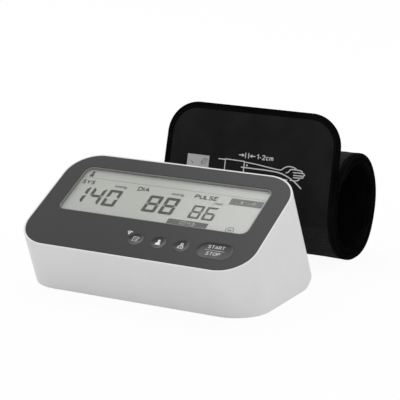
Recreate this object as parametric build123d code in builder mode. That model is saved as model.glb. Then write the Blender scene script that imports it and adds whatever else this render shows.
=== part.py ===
from build123d import *
from math import copysign, cos, radians, sin
import os

# A table-top blood pressure monitor with its preformed upper-arm cuff, in millimetres.
# The monitor is a leaning wedge: a white housing carries a sloping front panel with a wide
# display window and four buttons. The cuff stands behind it, rolled up, with its closing flap
# held upright. X runs across both, +Y points to the back and +Z up. The origin lies on the
# table, in the middle of the set's footprint.

os.makedirs("parts", exist_ok=True)

# ---------------------------------------------------------------- driving dimensions
# Monitor housing
BODY_W = 191.0
MONITOR_Y = -50.3            # the line that the monitor's parts are set out from
BASE_FRONT = MONITOR_Y - 55.2
BASE_BACK = MONITOR_Y + 51.3
BASE_FRONT_R = 27.4
BASE_BACK_R = 6.0
HEEL_R = 16.0                # round between the base and the back wall, all along X
FOOT_H = 0.3                 # how far the feet lift the housing
FOOT_EDGE_R, RIM_EDGE_R = 0.5, 0.6
WALL = 2.5
SIDE_X = BODY_W / 2

# Sloping face
TILT = 27.0
FACE_L = 106.2
FACE_R = 26.0
FACE_Y = MONITOR_Y - 22.2
FACE_Z = 61.5
RIM = 1.5                    # white rim left around the panel
PANEL_T = 2.2
PANEL_GAP = 0.1              # between the panel's edge and the rim
PANEL_EDGE = 0.3             # chamfer round the panel and its window
GASKET_T = 0.3
GASKET_INSET = 0.3           # from the panel's edge and from the shelf's
LEDGE_W = 4.5                # shelf under the panel's edge
LEDGE_BOTTOM = 6.2
WALL_LEAN = -0.12            # how far the walls run down the slope per millimetre of depth
OVERCUT = 1.0                # how far a cut runs on into a space that is cut later

# Display, centred up the slope from the face's middle
WINDOW_W, WINDOW_L, WINDOW_R = 157.0, 50.0, 6.0
WINDOW_Y = 12.5
FRAME_TOP, FRAME_WALL, FRAME_FLANGE = 0.3, 0.6, 2.5
FRAME_GAP = 0.05             # round the frame in the window, and round the lens in the frame
LENS_TOP, LENS_T = 1.2, 0.9
LCD_TOP, LCD_T = 2.5, 2.2
LCD_W, LCD_L = 162.0, 56.0
HOLDER_W, HOLDER_L, HOLDER_BOTTOM = 165.0, 59.0, 8.0
HOLDER_GAP, HOLDER_LIP = 0.1, 0.2
STRIP_W, STRIP_T, STRIP_Y = 120.0, 2.2, -13.3
STRIP_GAP = 0.2
PEG_R, PEG_INSET = 1.5, 10.0  # the pegs that stand on the circuit board

# Buttons, in a row along the slope's lower edge
BUTTON_Y = -33.0
SMALL_BUTTON_R = 6.1
SMALL_BUTTONS = {"memory_button": 0.0, "user_one_button": 18.5, "user_two_button": 37.0}
START_X, START_W, START_L, START_R = 63.5, 28.0, 16.4, 7.9
BUTTON_GAP = 0.15
BUTTON_TRAVEL = 0.9
BUTTON_LIP_R = 0.15
DISH_DEPTH, DISH_EDGE = 1.3, 0.5
START_DISH_TAPER = 55.0      # lean of the start button's dished sides, in degrees
FLANGE_TOP, FLANGE_T, FLANGE_EXTRA = PANEL_T + 0.2, 1.0, 1.2
STEM_R, STEM_END, STEM_GAP = 2.5, 10.2, 0.25
GUIDE_TOP, GUIDE_T = 6.6, 1.5
GUIDE_MID_X, GUIDE_W, GUIDE_L = 35.5, 89.0, 19.0
GUIDE_PEG_INSET = 2.5

# Circuit board, parallel to the face and hung from the panel's posts
BOARD_TOP, BOARD_T = 13.0, 1.6
BOARD_W, BOARD_L, BOARD_MID_Y, BOARD_CORNER_R = 176.0, 84.0, -1.0, 12.0
BOARD_BOTTOM = BOARD_TOP + BOARD_T
POST_R = 2.4
POSTS = [(-86.0, 24.0), (86.0, 24.0), (-86.0, -27.0), (86.0, -27.0), (-30.0, -38.0)]
PILOT_R, PILOT_L = 0.9, 6.0
PILOT_SPARE = 1.0            # how much deeper a pilot hole is than its screw
BOARD_SCREW_HEAD_R, BOARD_SCREW_HEAD_T = 2.2, 1.2
SWITCH_W, SWITCH_STUD_R, SWITCH_STUD_H = 6.0, 1.7, 0.5
SWITCH_GAP = 0.2             # left between a pressed button's stem and its switch
# (x, y, width, length) of each chip under the board
CHIPS = [(-20, 0, 12, 12), (25, -6, 9, 9), (-48, 12, 6, 10), (0, 24, 10, 5)]
CHIP_T = 1.4
RADIO_X, RADIO_Y, RADIO_W, RADIO_L, RADIO_T = -66.0, -8.0, 14.0, 18.0, 2.2
BUZZER_X, BUZZER_Y, BUZZER_R, BUZZER_T, BUZZER_HOLE = 56.0, 8.0, 7.0, 4.0, 1.0

# Base cover and its fixings
COVER_T = 2.4
COVER_TOP = FOOT_H + COVER_T
COVER_SIDE, COVER_GAP = 2.7, 0.2
COVER_BACK = MONITOR_Y + 28.7  # where the cover stops and the housing's heel begins
FOOT_R, FOOT_X, FOOT_FRONT, FOOT_BACK, FOOT_SINK = 6.0, 66.0, -41.0, 20.0, 0.8
BOSS_R, BOSS_X, BOSS_FRONT, BOSS_BACK = 4.0, 83.0, -30.0, 23.0
BOSS_TOP, RIB_T, RIB_LAP = 14.5, 2.0, 0.2
SCREW_R, SCREW_HEAD_R, SCREW_HEAD_T, SCREW_END = 1.4, 2.8, 1.2, 12.0
CROSS_W, CROSS_T = 3.2, 0.7  # the screw heads' cross slot, as deep as it is wide

# Battery bay, open to the underside: four AA cells lying front to back
BAY_W = 65.0
BAY_FRONT, BAY_BACK, BAY_TOP = MONITOR_Y - 50.5, MONITOR_Y + 8.6, 18.6
BAY_WALL = 1.5
BAY_L = BAY_BACK - BAY_FRONT
BAY_MID_Y = (BAY_BACK + BAY_FRONT) / 2
CELL_R, CELL_L, NUB_R, NUB_L, CELL_PITCH = 7.1, 49.0, 2.7, 1.2, 16.0
CELL_Z = COVER_TOP + 0.3 + CELL_R
CONTACT_T, CONTACT_H, CONTACT_W = 0.5, 10.0, 11.0
# (first cell, number of cells, 1 at the back or -1 at the front) of each contact plate
CONTACTS = [(0, 2, 1), (2, 2, 1), (0, 1, -1), (1, 2, -1), (3, 1, -1)]
SPRING_R, SPRING_WIRE_R, SPRING_TURNS = 3.0, 0.35, 4

# Battery door, hinged along its back edge
DOOR_GAP = 0.15
DOOR_W = BAY_W - 2 * DOOR_GAP
HINGE_EDGE_R = COVER_T / 2
HINGE_Z = FOOT_H + HINGE_EDGE_R
HINGE_Y = BAY_BACK - DOOR_GAP - HINGE_EDGE_R
TRUNNION_R, TRUNNION_L, TRUNNION_GAP, TRUNNION_END_GAP = 0.8, 1.3, 0.06, 0.2
TONGUE_W, TONGUE_T, TONGUE_H = 20.0, 1.2, 1.4
GRIP_W, GRIP_L, GRIP_DEPTH = 24.0, 8.0, 0.9

# Air parts on the base cover, behind the battery bay, on two lines along X:
# the pump's, and the one that the release valve and the air jack share
PUMP_Y = MONITOR_Y + 27.0
FEED_Y = PUMP_Y - 10.5
AIR_Z = 22.0
PUMP_Z = 19.0
MOTOR_R, MOTOR_L, MOTOR_X, MOTOR_EDGE_R = 12.0, 30.0, 44.0, 1.5
BEARING_R, BEARING_L = 4.0, 2.0
HEAD_R, HEAD_L, HEAD_EDGE_R = 13.0, 20.0, 2.0
CRADLE_W, CRADLE_FRONT, CRADLE_TOP = 24.0, -11.0, 14.0
CRADLE_BACK = 1.5            # the cradle stops at the cover's edge, just behind the motor's middle
MANIFOLD_X, MANIFOLD_W, MANIFOLD_L, MANIFOLD_H = -62.0, 12.0, 18.0, 10.0
MANIFOLD_EDGE_R, MANIFOLD_POST_R = 1.5, 3.0
VALVE_X, VALVE_W, VALVE_L, VALVE_TOP, VALVE_EDGE = -30.0, 18.0, 12.0, 28.0, 1.0
SENSOR_W, SENSOR_H, SENSOR_BOARD_W = 8.0, 5.0, 14.0
HOSE_R, HOSE_BORE, HOSE_SPARE = 2.4, 1.5, 1.0
NOZZLE_R, NOZZLE_L, NOZZLE_BORE = 1.5, 7.0, 0.7

# Sockets in the left wall
AIR_JACK_R, AIR_JACK_FLANGE_R, AIR_JACK_FLANGE_T, AIR_JACK_L = 5.4, 7.0, 2.0, 15.0
AIR_BORE_R, AIR_BORE_L = 2.5, 12.0
POWER_JACK_Y = MONITOR_Y + 2.0
POWER_JACK_R, POWER_JACK_L, POWER_JACK_BODY = 4.4, 13.0, 11.0
POWER_BORE_R, POWER_BORE_L, POWER_PIN_R, POWER_PIN_SINK = 2.75, 9.5, 1.05, 1.0
SOCKET_SINK = 0.4
SOCKET_GAP = 0.1

# Cuff: a strip rolled up in quarter turns, each a little tighter than the last.
# Angles run from the back over the top; the strip starts at the front and runs down.
CUFF_Y = MONITOR_Y + 127.6
CUFF_Z = 43.5
CUFF_RIGHT, CUFF_W = 93.5, 148.0
CUFF_LEFT = CUFF_RIGHT - CUFF_W
CUFF_MID_X = CUFF_RIGHT - CUFF_W / 2
ROLL_R, ROLL_STEP = 41.5, 1.1
FLAP_LEAN = 11.3
ROLL_START = 180.0 - FLAP_LEAN
ROLL_END = 871.0
SEAM_ANGLE = 197.0           # where the smooth cover meets the loop panel
BIND_W = 4.8                 # width of the edge tape
END_TAPE_ANGLE = 8.1         # the same width at the inner end, as an angle
BLADDER_START, BLADDER_END = 296.0, 690.0
CURLER_INSET, BLADDER_INSET = 3.0, 9.0
CURLER_END_ANGLE = 2.0       # how far the curler stops short of the skins' ends
# Layers, as offsets from the strip's middle towards its outer face
TAPE = (-2.0, 2.0)
OUTER_SKIN = (1.1, 1.9)
CURLER = (0.2, 1.0)
BLADDER = (-0.9, 0.1)
INNER_SKIN = (-1.9, -1.0)
# Flap, the strip's outer end
FLAP_L, FLAP_R = 68.0, 25.4
FLAP_GAP = 0.3
HOOK_W, HOOK_L, HOOK_MID, HOOK_CORNER_R = 112.0, 42.0, 31.0, 8.0
# Air port on the strip's left edge
PORT_ANGLE, PORT_R, PORT_L, PORT_GAP = 310.0, 3.4, 20.0, 0.05
PORT_PIN_R, PORT_PIN_L = 2.4, 12.0

# ---------------------------------------------------------------- shared planes and outlines
HANG = (Align.CENTER, Align.CENTER, Align.MAX)
STAND = (Align.CENTER, Align.CENTER, Align.MIN)
ALONG_X = (0, 90, 0)
face = Plane(
    origin=(0, FACE_Y, FACE_Z),
    x_dir=(1, 0, 0),
    z_dir=(0, -sin(radians(TILT)), cos(radians(TILT))),
)
face_axis = Axis(face.origin, face.z_dir)


def base_outline(inset):
    """The base's outline, drawn in by inset, at the housing's lower edge."""
    with BuildSketch(Plane((0, (BASE_FRONT + BASE_BACK) / 2, FOOT_H))) as outline:
        Rectangle(BODY_W - 2 * inset, BASE_BACK - BASE_FRONT - 2 * inset)
        fillet(outline.vertices().group_by(Axis.Y)[0], BASE_FRONT_R - inset)
        fillet(outline.vertices().group_by(Axis.Y)[-1], BASE_BACK_R - inset)
    return outline.sketch


def face_outline(inset, depth=0, shift=0):
    """The sloping face's outline, drawn in by inset, at a depth, shifted up the slope."""
    with BuildSketch(face.offset(-depth)) as outline:
        with Locations((0, shift)):
            RectangleRounded(BODY_W - 2 * inset, FACE_L - 2 * inset, FACE_R - inset)
    return outline.sketch


def heel_outline():
    """A side view that holds the whole monitor, with a round where the base meets the back wall."""
    top_y = FACE_Y + FACE_L / 2 * cos(radians(TILT))
    top_z = FACE_Z + FACE_L / 2 * sin(radians(TILT))
    lean_y, lean_z = 2 * top_y - BASE_BACK, 2 * top_z - FOOT_H
    with BuildSketch(Plane.YZ.offset(-BODY_W)) as outline:
        with BuildLine():
            Polyline(
                (2 * BASE_FRONT, FOOT_H),
                (BASE_BACK, FOOT_H),
                (lean_y, lean_z),
                (2 * BASE_FRONT, lean_z),
                close=True,
            )
        make_face()
        fillet(outline.vertices().sort_by(Axis.X)[-1], HEEL_R)
    return outline


def start_outline(grow, depth):
    """The start button's outline, grown by a margin."""
    with BuildSketch(face.offset(-depth)) as outline:
        with Locations((START_X, BUTTON_Y)):
            RectangleRounded(START_W + 2 * grow, START_L + 2 * grow, START_R + grow)
    return outline.sketch


def window_outline(grow, depth):
    """The display window's outline, grown by a margin."""
    with BuildSketch(face.offset(-depth)) as outline:
        with Locations((0, WINDOW_Y)):
            RectangleRounded(WINDOW_W + 2 * grow, WINDOW_L + 2 * grow, WINDOW_R + grow)
    return outline.sketch


# ---------------------------------------------------------------- housing
corner_points = [
    (side * BOSS_X, MONITOR_Y + end) for side in (-1, 1) for end in (BOSS_FRONT, BOSS_BACK)
]
rib_mid = (BOSS_X + SIDE_X - WALL) / 2
with BuildPart() as cavity:
    cavity_top = face_outline(WALL, LEDGE_BOTTOM, WALL_LEAN * LEDGE_BOTTOM)
    loft(sections=[base_outline(WALL).face(), cavity_top.face()], ruled=True)
    with BuildSketch(Plane.YZ.offset(-BODY_W)) as inner_view:
        add(heel_outline().sketch_local)
        offset(amount=-WALL, kind=Kind.INTERSECTION)
        with Locations((COVER_BACK, 0)):
            Rectangle(BODY_W, BODY_W, align=(Align.MAX, Align.MIN))
    extrude(inner_view.sketch, amount=2 * BODY_W, mode=Mode.INTERSECT)
with BuildPart() as housing:
    loft(sections=[base_outline(0).face(), face_outline(0).face()], ruled=True)
    fillet(housing.faces().sort_by(Axis.Z)[0].edges(), FOOT_EDGE_R)
    fillet(housing.faces().sort_by(face_axis)[-1].edges(), RIM_EDGE_R)
    extrude(heel_outline().sketch, amount=2 * BODY_W, mode=Mode.INTERSECT)
    extrude(face_outline(RIM), amount=-(PANEL_T + GASKET_T), mode=Mode.SUBTRACT)
    extrude(face_outline(RIM + LEDGE_W), amount=-(LEDGE_BOTTOM + OVERCUT), mode=Mode.SUBTRACT)
    add(cavity.part, mode=Mode.SUBTRACT)
    with Locations(*[(x, y, COVER_TOP) for x, y in corner_points]):
        Cylinder(BOSS_R, BOSS_TOP - COVER_TOP, align=STAND)
    with Locations(*[(copysign(rib_mid, x), y, COVER_TOP) for x, y in corner_points]):
        Box(SIDE_X - WALL - BOSS_X + 2 * RIB_LAP, RIB_T, BOSS_TOP - COVER_TOP, align=STAND)
    with Locations(*[(x, y, COVER_TOP) for x, y in corner_points]):
        Cylinder(SCREW_R, SCREW_END - COVER_TOP, align=STAND, mode=Mode.SUBTRACT)
    with Locations((-SIDE_X, FEED_Y, AIR_Z)):
        Cylinder(AIR_JACK_R + SOCKET_GAP, 3 * WALL, rotation=ALONG_X, mode=Mode.SUBTRACT)
    with Locations((-SIDE_X, POWER_JACK_Y, AIR_Z)):
        Cylinder(POWER_JACK_R + SOCKET_GAP, 3 * WALL, rotation=ALONG_X, mode=Mode.SUBTRACT)
housing.part.label = "housing"
export_step(housing.part, "parts/housing.step")

# ---------------------------------------------------------------- front panel
with BuildPart(face) as front_panel:
    extrude(face_outline(RIM + PANEL_GAP), amount=-PANEL_T)
    extrude(window_outline(0, 0), amount=-PANEL_T, mode=Mode.SUBTRACT)
    chamfer(front_panel.faces().sort_by(face_axis)[-1].edges(), PANEL_EDGE)
    extrude(start_outline(BUTTON_GAP, 0), amount=-PANEL_T, mode=Mode.SUBTRACT)
    with Locations(*[(x, BUTTON_Y, 0) for x in SMALL_BUTTONS.values()]):
        Cylinder(SMALL_BUTTON_R + BUTTON_GAP, PANEL_T, align=HANG, mode=Mode.SUBTRACT)
    with Locations(*[(x, y, -PANEL_T) for x, y in POSTS]):
        Cylinder(POST_R, BOARD_TOP - PANEL_T, align=HANG)
    with Locations(*[(x, y, PILOT_L - BOARD_TOP) for x, y in POSTS]):
        Cylinder(PILOT_R, PILOT_L, align=HANG, mode=Mode.SUBTRACT)
front_panel.part.label = "front_panel"
export_step(front_panel.part, "parts/front_panel.step")

with BuildPart() as panel_gasket:
    extrude(face_outline(RIM + GASKET_INSET, PANEL_T), amount=-GASKET_T)
    inner = face_outline(RIM + LEDGE_W - GASKET_INSET, PANEL_T)
    extrude(inner, amount=-GASKET_T, mode=Mode.SUBTRACT)
panel_gasket.part.label = "panel_gasket"
export_step(panel_gasket.part, "parts/panel_gasket.step")

# ---------------------------------------------------------------- display
with BuildPart() as display_frame:
    extrude(window_outline(FRAME_FLANGE, PANEL_T), amount=-(LCD_TOP - PANEL_T))
    extrude(window_outline(-FRAME_GAP, FRAME_TOP), amount=-(LCD_TOP - FRAME_TOP))
    inner = window_outline(-FRAME_WALL, FRAME_TOP)
    extrude(inner, amount=-(LCD_TOP - FRAME_TOP), mode=Mode.SUBTRACT)
display_frame.part.label = "display_frame"
export_step(display_frame.part, "parts/display_frame.step")

with BuildPart() as display_lens:
    extrude(window_outline(-FRAME_WALL - FRAME_GAP, LENS_TOP), amount=-LENS_T)
display_lens.part.label = "display_lens"
export_step(display_lens.part, "parts/display_lens.step")

with BuildPart(face) as lcd_glass:
    with Locations((0, WINDOW_Y, -LCD_TOP)):
        Box(LCD_W, LCD_L, LCD_T, align=HANG)
lcd_glass.part.label = "lcd_glass"
export_step(lcd_glass.part, "parts/lcd_glass.step")

with BuildPart(face) as lcd_holder:
    lip_top = LCD_TOP + HOLDER_LIP
    seat_w, seat_l = LCD_W + 2 * HOLDER_GAP, LCD_L + 2 * HOLDER_GAP
    slot_w, slot_l = STRIP_W + 2 * STRIP_GAP, STRIP_T + 2 * STRIP_GAP
    with Locations((0, WINDOW_Y, -lip_top)):
        Box(HOLDER_W, HOLDER_L, HOLDER_BOTTOM - lip_top, align=HANG)
        Box(seat_w, seat_l, LCD_TOP + LCD_T - lip_top, align=HANG, mode=Mode.SUBTRACT)
    with Locations((0, STRIP_Y, -LCD_TOP)):
        Box(slot_w, slot_l, HOLDER_BOTTOM, align=HANG, mode=Mode.SUBTRACT)
    with Locations((0, WINDOW_Y, -HOLDER_BOTTOM)):
        with GridLocations(HOLDER_W - 2 * PEG_INSET, HOLDER_L - 2 * PEG_INSET, 2, 2):
            Cylinder(PEG_R, BOARD_TOP - HOLDER_BOTTOM, align=HANG)
lcd_holder.part.label = "lcd_holder"
export_step(lcd_holder.part, "parts/lcd_holder.step")

with BuildPart(face) as lcd_connector:
    with Locations((0, STRIP_Y, -(LCD_TOP + LCD_T))):
        Box(STRIP_W, STRIP_T, BOARD_TOP - LCD_TOP - LCD_T, align=HANG)
lcd_connector.part.label = "lcd_connector"
export_step(lcd_connector.part, "parts/lcd_connector.step")

# ---------------------------------------------------------------- buttons
small_edge = SMALL_BUTTON_R - DISH_EDGE
small_dish_r = (small_edge**2 + DISH_DEPTH**2) / (2 * DISH_DEPTH)
for name, x in SMALL_BUTTONS.items():
    with BuildPart(face) as small_button:
        with Locations((x, BUTTON_Y, 0)):
            Cylinder(SMALL_BUTTON_R, FLANGE_TOP, align=HANG)
        fillet(small_button.faces().sort_by(face_axis)[-1].edges(), BUTTON_LIP_R)
        with Locations((x, BUTTON_Y, -FLANGE_TOP)):
            Cylinder(SMALL_BUTTON_R + FLANGE_EXTRA, FLANGE_T, align=HANG)
            Cylinder(STEM_R, STEM_END - FLANGE_TOP, align=HANG)
        with Locations((x, BUTTON_Y, small_dish_r - DISH_DEPTH)):
            Sphere(small_dish_r, mode=Mode.SUBTRACT)
    small_button.part.label = name
    export_step(small_button.part, f"parts/{name}.step")

with BuildPart(face) as start_button:
    extrude(start_outline(0, 0), amount=-FLANGE_TOP)
    fillet(start_button.faces().sort_by(face_axis)[-1].edges(), BUTTON_LIP_R)
    extrude(start_outline(FLANGE_EXTRA, FLANGE_TOP), amount=-FLANGE_T)
    with Locations((START_X, BUTTON_Y, -FLANGE_TOP)):
        Cylinder(STEM_R, STEM_END - FLANGE_TOP, align=HANG)
    dish = start_outline(-DISH_EDGE, 0)
    extrude(dish, amount=-DISH_DEPTH, taper=START_DISH_TAPER, mode=Mode.SUBTRACT)
start_button.part.label = "start_button"
export_step(start_button.part, "parts/start_button.step")

stems = [(x, BUTTON_Y) for x in SMALL_BUTTONS.values()] + [(START_X, BUTTON_Y)]
with BuildPart(face) as button_guide:
    with Locations((GUIDE_MID_X, BUTTON_Y, -GUIDE_TOP)):
        Box(GUIDE_W, GUIDE_L, GUIDE_T, align=HANG)
        with GridLocations(GUIDE_W - 2 * GUIDE_PEG_INSET, GUIDE_L - 2 * GUIDE_PEG_INSET, 2, 2):
            Cylinder(PEG_R, BOARD_TOP - GUIDE_TOP, align=HANG)
    with Locations(*[(x, y, -GUIDE_TOP) for x, y in stems]):
        Cylinder(STEM_R + STEM_GAP, GUIDE_T, align=HANG, mode=Mode.SUBTRACT)
button_guide.part.label = "button_guide"
export_step(button_guide.part, "parts/button_guide.step")

# ---------------------------------------------------------------- circuit board
switch_top = STEM_END + BUTTON_TRAVEL + SWITCH_GAP
with BuildPart(face) as tact_switches:
    with Locations(*[(x, y, -switch_top) for x, y in stems]):
        Cylinder(SWITCH_STUD_R, BOARD_TOP - switch_top, align=HANG)
    with Locations(*[(x, y, -(switch_top + SWITCH_STUD_H)) for x, y in stems]):
        Box(SWITCH_W, SWITCH_W, BOARD_TOP - switch_top - SWITCH_STUD_H, align=HANG)
tact_switches.part.label = "tact_switches"
export_step(tact_switches.part, "parts/tact_switches.step")

with BuildPart(face) as main_board:
    with BuildSketch(face.offset(-BOARD_TOP)):
        with Locations((0, BOARD_MID_Y)):
            RectangleRounded(BOARD_W, BOARD_L, BOARD_CORNER_R)
        with Locations(*POSTS):
            Circle(PILOT_R, mode=Mode.SUBTRACT)
    extrude(amount=-BOARD_T)
main_board.part.label = "main_board"
export_step(main_board.part, "parts/main_board.step")

with BuildPart(face) as board_screws:
    screw_l = PILOT_L - PILOT_SPARE + BOARD_T
    with Locations(*[(x, y, screw_l - BOARD_BOTTOM) for x, y in POSTS]):
        Cylinder(PILOT_R, screw_l, align=HANG)
    with Locations(*[(x, y, -BOARD_BOTTOM) for x, y in POSTS]):
        Cylinder(BOARD_SCREW_HEAD_R, BOARD_SCREW_HEAD_T, align=HANG)
board_screws.part.label = "board_screws"
export_step(board_screws.part, "parts/board_screws.step")

with BuildPart(face) as control_chips:
    for x, y, width, length in CHIPS:
        with Locations((x, y, -BOARD_BOTTOM)):
            Box(width, length, CHIP_T, align=HANG)
control_chips.part.label = "control_chips"
export_step(control_chips.part, "parts/control_chips.step")

with BuildPart(face) as wireless_module:
    with Locations((RADIO_X, RADIO_Y, -BOARD_BOTTOM)):
        Box(RADIO_W, RADIO_L, RADIO_T, align=HANG)
wireless_module.part.label = "wireless_module"
export_step(wireless_module.part, "parts/wireless_module.step")

with BuildPart(face) as buzzer:
    with Locations((BUZZER_X, BUZZER_Y, -BOARD_BOTTOM)):
        Cylinder(BUZZER_R, BUZZER_T, align=HANG)
        Cylinder(BUZZER_HOLE, BUZZER_HOLE, align=HANG, mode=Mode.SUBTRACT)
buzzer.part.label = "buzzer"
export_step(buzzer.part, "parts/buzzer.step")

# ---------------------------------------------------------------- base cover
foot_points = [
    (side * FOOT_X, MONITOR_Y + end) for side in (-1, 1) for end in (FOOT_FRONT, FOOT_BACK)
]
with BuildPart() as bottom_cover:
    with BuildSketch(Plane.XY.offset(FOOT_H)) as plate:
        cover_front, cover_back = BASE_FRONT + COVER_SIDE, COVER_BACK - COVER_GAP
        with Locations((0, (cover_front + cover_back) / 2)):
            Rectangle(BODY_W - 2 * COVER_SIDE, cover_back - cover_front)
        fillet(plate.vertices().group_by(Axis.Y)[0], BASE_FRONT_R - COVER_SIDE)
    extrude(amount=COVER_T)
    with Locations((0, BAY_MID_Y, FOOT_H)):
        Box(BAY_W + 2 * BAY_WALL, BAY_L + 2 * BAY_WALL, BAY_TOP + BAY_WALL - FOOT_H, align=STAND)
        Box(BAY_W, BAY_L, BAY_TOP - FOOT_H, align=STAND, mode=Mode.SUBTRACT)
    with Locations((0, HINGE_Y, HINGE_Z)):
        hinge_hole_l = BAY_W + 2 * (TRUNNION_L + TRUNNION_END_GAP)
        Cylinder(TRUNNION_R + TRUNNION_GAP, hinge_hole_l, rotation=ALONG_X, mode=Mode.SUBTRACT)
    with Locations(*[(x, y, FOOT_H) for x, y in foot_points]):
        Cylinder(FOOT_R, FOOT_SINK, align=STAND, mode=Mode.SUBTRACT)
    with Locations(*[(x, y, FOOT_H) for x, y in corner_points]):
        Cylinder(SCREW_R, COVER_T, align=STAND, mode=Mode.SUBTRACT)
        Cylinder(SCREW_HEAD_R, SCREW_HEAD_T, align=STAND, mode=Mode.SUBTRACT)
bottom_cover.part.label = "bottom_cover"
export_step(bottom_cover.part, "parts/bottom_cover.step")

with BuildPart() as feet:
    with Locations(*[(x, y, 0) for x, y in foot_points]):
        Cylinder(FOOT_R, FOOT_H + FOOT_SINK, align=STAND)
feet.part.label = "feet"
export_step(feet.part, "parts/feet.step")

with BuildPart() as case_screws:
    with Locations(*[(x, y, FOOT_H) for x, y in corner_points]):
        Cylinder(SCREW_HEAD_R, SCREW_HEAD_T, align=STAND)
        Cylinder(SCREW_R, SCREW_END - FOOT_H, align=STAND)
    with Locations(*[(x, y, FOOT_H) for x, y in corner_points]):
        Box(CROSS_W, CROSS_T, CROSS_T, align=STAND, mode=Mode.SUBTRACT)
        Box(CROSS_T, CROSS_W, CROSS_T, align=STAND, mode=Mode.SUBTRACT)
case_screws.part.label = "case_screws"
export_step(case_screws.part, "parts/case_screws.step")

# ---------------------------------------------------------------- batteries
cell_xs = [(i - 1.5) * CELL_PITCH for i in range(4)]
cell_ways = [1, -1, 1, -1]   # which way each cell's positive end points
spring_l = BAY_L - 2 * CONTACT_T - CELL_L - NUB_L
with BuildPart() as battery_cells:
    for x, way in zip(cell_xs, cell_ways):
        nub_end = BAY_MID_Y + way * (BAY_L / 2 - CONTACT_T)
        with Locations((x, nub_end - way * NUB_L / 2, CELL_Z)):
            Cylinder(NUB_R, NUB_L, rotation=(90, 0, 0))
        with Locations((x, nub_end - way * (NUB_L + CELL_L / 2), CELL_Z)):
            Cylinder(CELL_R, CELL_L, rotation=(90, 0, 0))
battery_cells.part.label = "battery_cells"
export_step(battery_cells.part, "parts/battery_cells.step")

with BuildPart() as battery_contacts:
    for first, count, end in CONTACTS:
        x_mid = (cell_xs[first] + cell_xs[first + count - 1]) / 2
        wall_y = BAY_MID_Y + end * (BAY_L - CONTACT_T) / 2
        with Locations((x_mid, wall_y, CELL_Z)):
            Box(CONTACT_W + (count - 1) * CELL_PITCH, CONTACT_T, CONTACT_H)
battery_contacts.part.label = "battery_contacts"
export_step(battery_contacts.part, "parts/battery_contacts.step")

with BuildPart() as battery_springs:
    for x, way in zip(cell_xs, cell_ways):
        coil_y = BAY_MID_Y - way * (BAY_L / 2 - CONTACT_T - SPRING_WIRE_R)
        coil_l = spring_l - 2 * SPRING_WIRE_R
        coil_turn = coil_l / SPRING_TURNS
        with BuildLine() as coil:
            Helix(coil_turn, coil_l, SPRING_R, center=(x, coil_y, CELL_Z), direction=(0, way, 0))
        with BuildSketch(Plane(origin=coil.line @ 0, z_dir=coil.line % 0)):
            Circle(SPRING_WIRE_R)
        sweep(path=coil.line)
battery_springs.part.label = "battery_springs"
export_step(battery_springs.part, "parts/battery_springs.step")

with BuildPart() as battery_door:
    door_front = BAY_FRONT + DOOR_GAP
    with BuildSketch(Plane.YZ.offset(-DOOR_W / 2)):
        with Locations(((door_front + HINGE_Y) / 2, HINGE_Z)):
            Rectangle(HINGE_Y - door_front, COVER_T)
        with Locations((HINGE_Y, HINGE_Z)):
            Circle(HINGE_EDGE_R)
    extrude(amount=DOOR_W)
    with Locations((0, HINGE_Y, HINGE_Z)):
        Cylinder(TRUNNION_R, BAY_W + 2 * TRUNNION_L, rotation=ALONG_X)
    with Locations((0, door_front + TONGUE_T / 2, COVER_TOP)):
        Box(TONGUE_W, TONGUE_T, TONGUE_H, align=STAND)
    with Locations((0, door_front + GRIP_L, FOOT_H)):
        Box(GRIP_W, GRIP_L, GRIP_DEPTH, align=STAND, mode=Mode.SUBTRACT)
battery_door.part.label = "battery_door"
export_step(battery_door.part, "parts/battery_door.step")


# ---------------------------------------------------------------- air parts
def nozzle(x, y, way):
    """A hose barb along X from x, pointing left (-1) or right (1), with its bore."""
    with Locations((x + way * NOZZLE_L / 2, y, AIR_Z)):
        Cylinder(NOZZLE_R, NOZZLE_L, rotation=ALONG_X)
        Cylinder(NOZZLE_BORE, NOZZLE_L, rotation=ALONG_X, mode=Mode.SUBTRACT)


with BuildPart() as pump_motor:
    with Locations((MOTOR_X + MOTOR_L / 2, PUMP_Y, PUMP_Z)):
        Cylinder(MOTOR_R, MOTOR_L, rotation=ALONG_X)
    fillet(pump_motor.faces().sort_by(Axis.X)[-1].edges(), MOTOR_EDGE_R)
    with Locations((MOTOR_X + MOTOR_L + BEARING_L / 2, PUMP_Y, PUMP_Z)):
        Cylinder(BEARING_R, BEARING_L, rotation=ALONG_X)
pump_motor.part.label = "pump_motor"
export_step(pump_motor.part, "parts/pump_motor.step")

with BuildPart() as pump_head:
    with Locations((MOTOR_X - HEAD_L / 2, PUMP_Y, PUMP_Z)):
        Cylinder(HEAD_R, HEAD_L, rotation=ALONG_X)
    fillet(pump_head.faces().sort_by(Axis.X)[0].edges(), HEAD_EDGE_R)
    nozzle(MOTOR_X - HEAD_L, PUMP_Y, -1)
pump_head.part.label = "pump_head"
export_step(pump_head.part, "parts/pump_head.step")

with BuildPart() as pump_cradle:
    with Locations((MOTOR_X + MOTOR_L / 2, PUMP_Y + (CRADLE_FRONT + CRADLE_BACK) / 2, COVER_TOP)):
        Box(CRADLE_W, CRADLE_BACK - CRADLE_FRONT, CRADLE_TOP - COVER_TOP, align=STAND)
    with Locations((MOTOR_X + MOTOR_L / 2, PUMP_Y, PUMP_Z)):
        Cylinder(MOTOR_R, MOTOR_L, rotation=ALONG_X, mode=Mode.SUBTRACT)
pump_cradle.part.label = "pump_cradle"
export_step(pump_cradle.part, "parts/pump_cradle.step")

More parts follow.
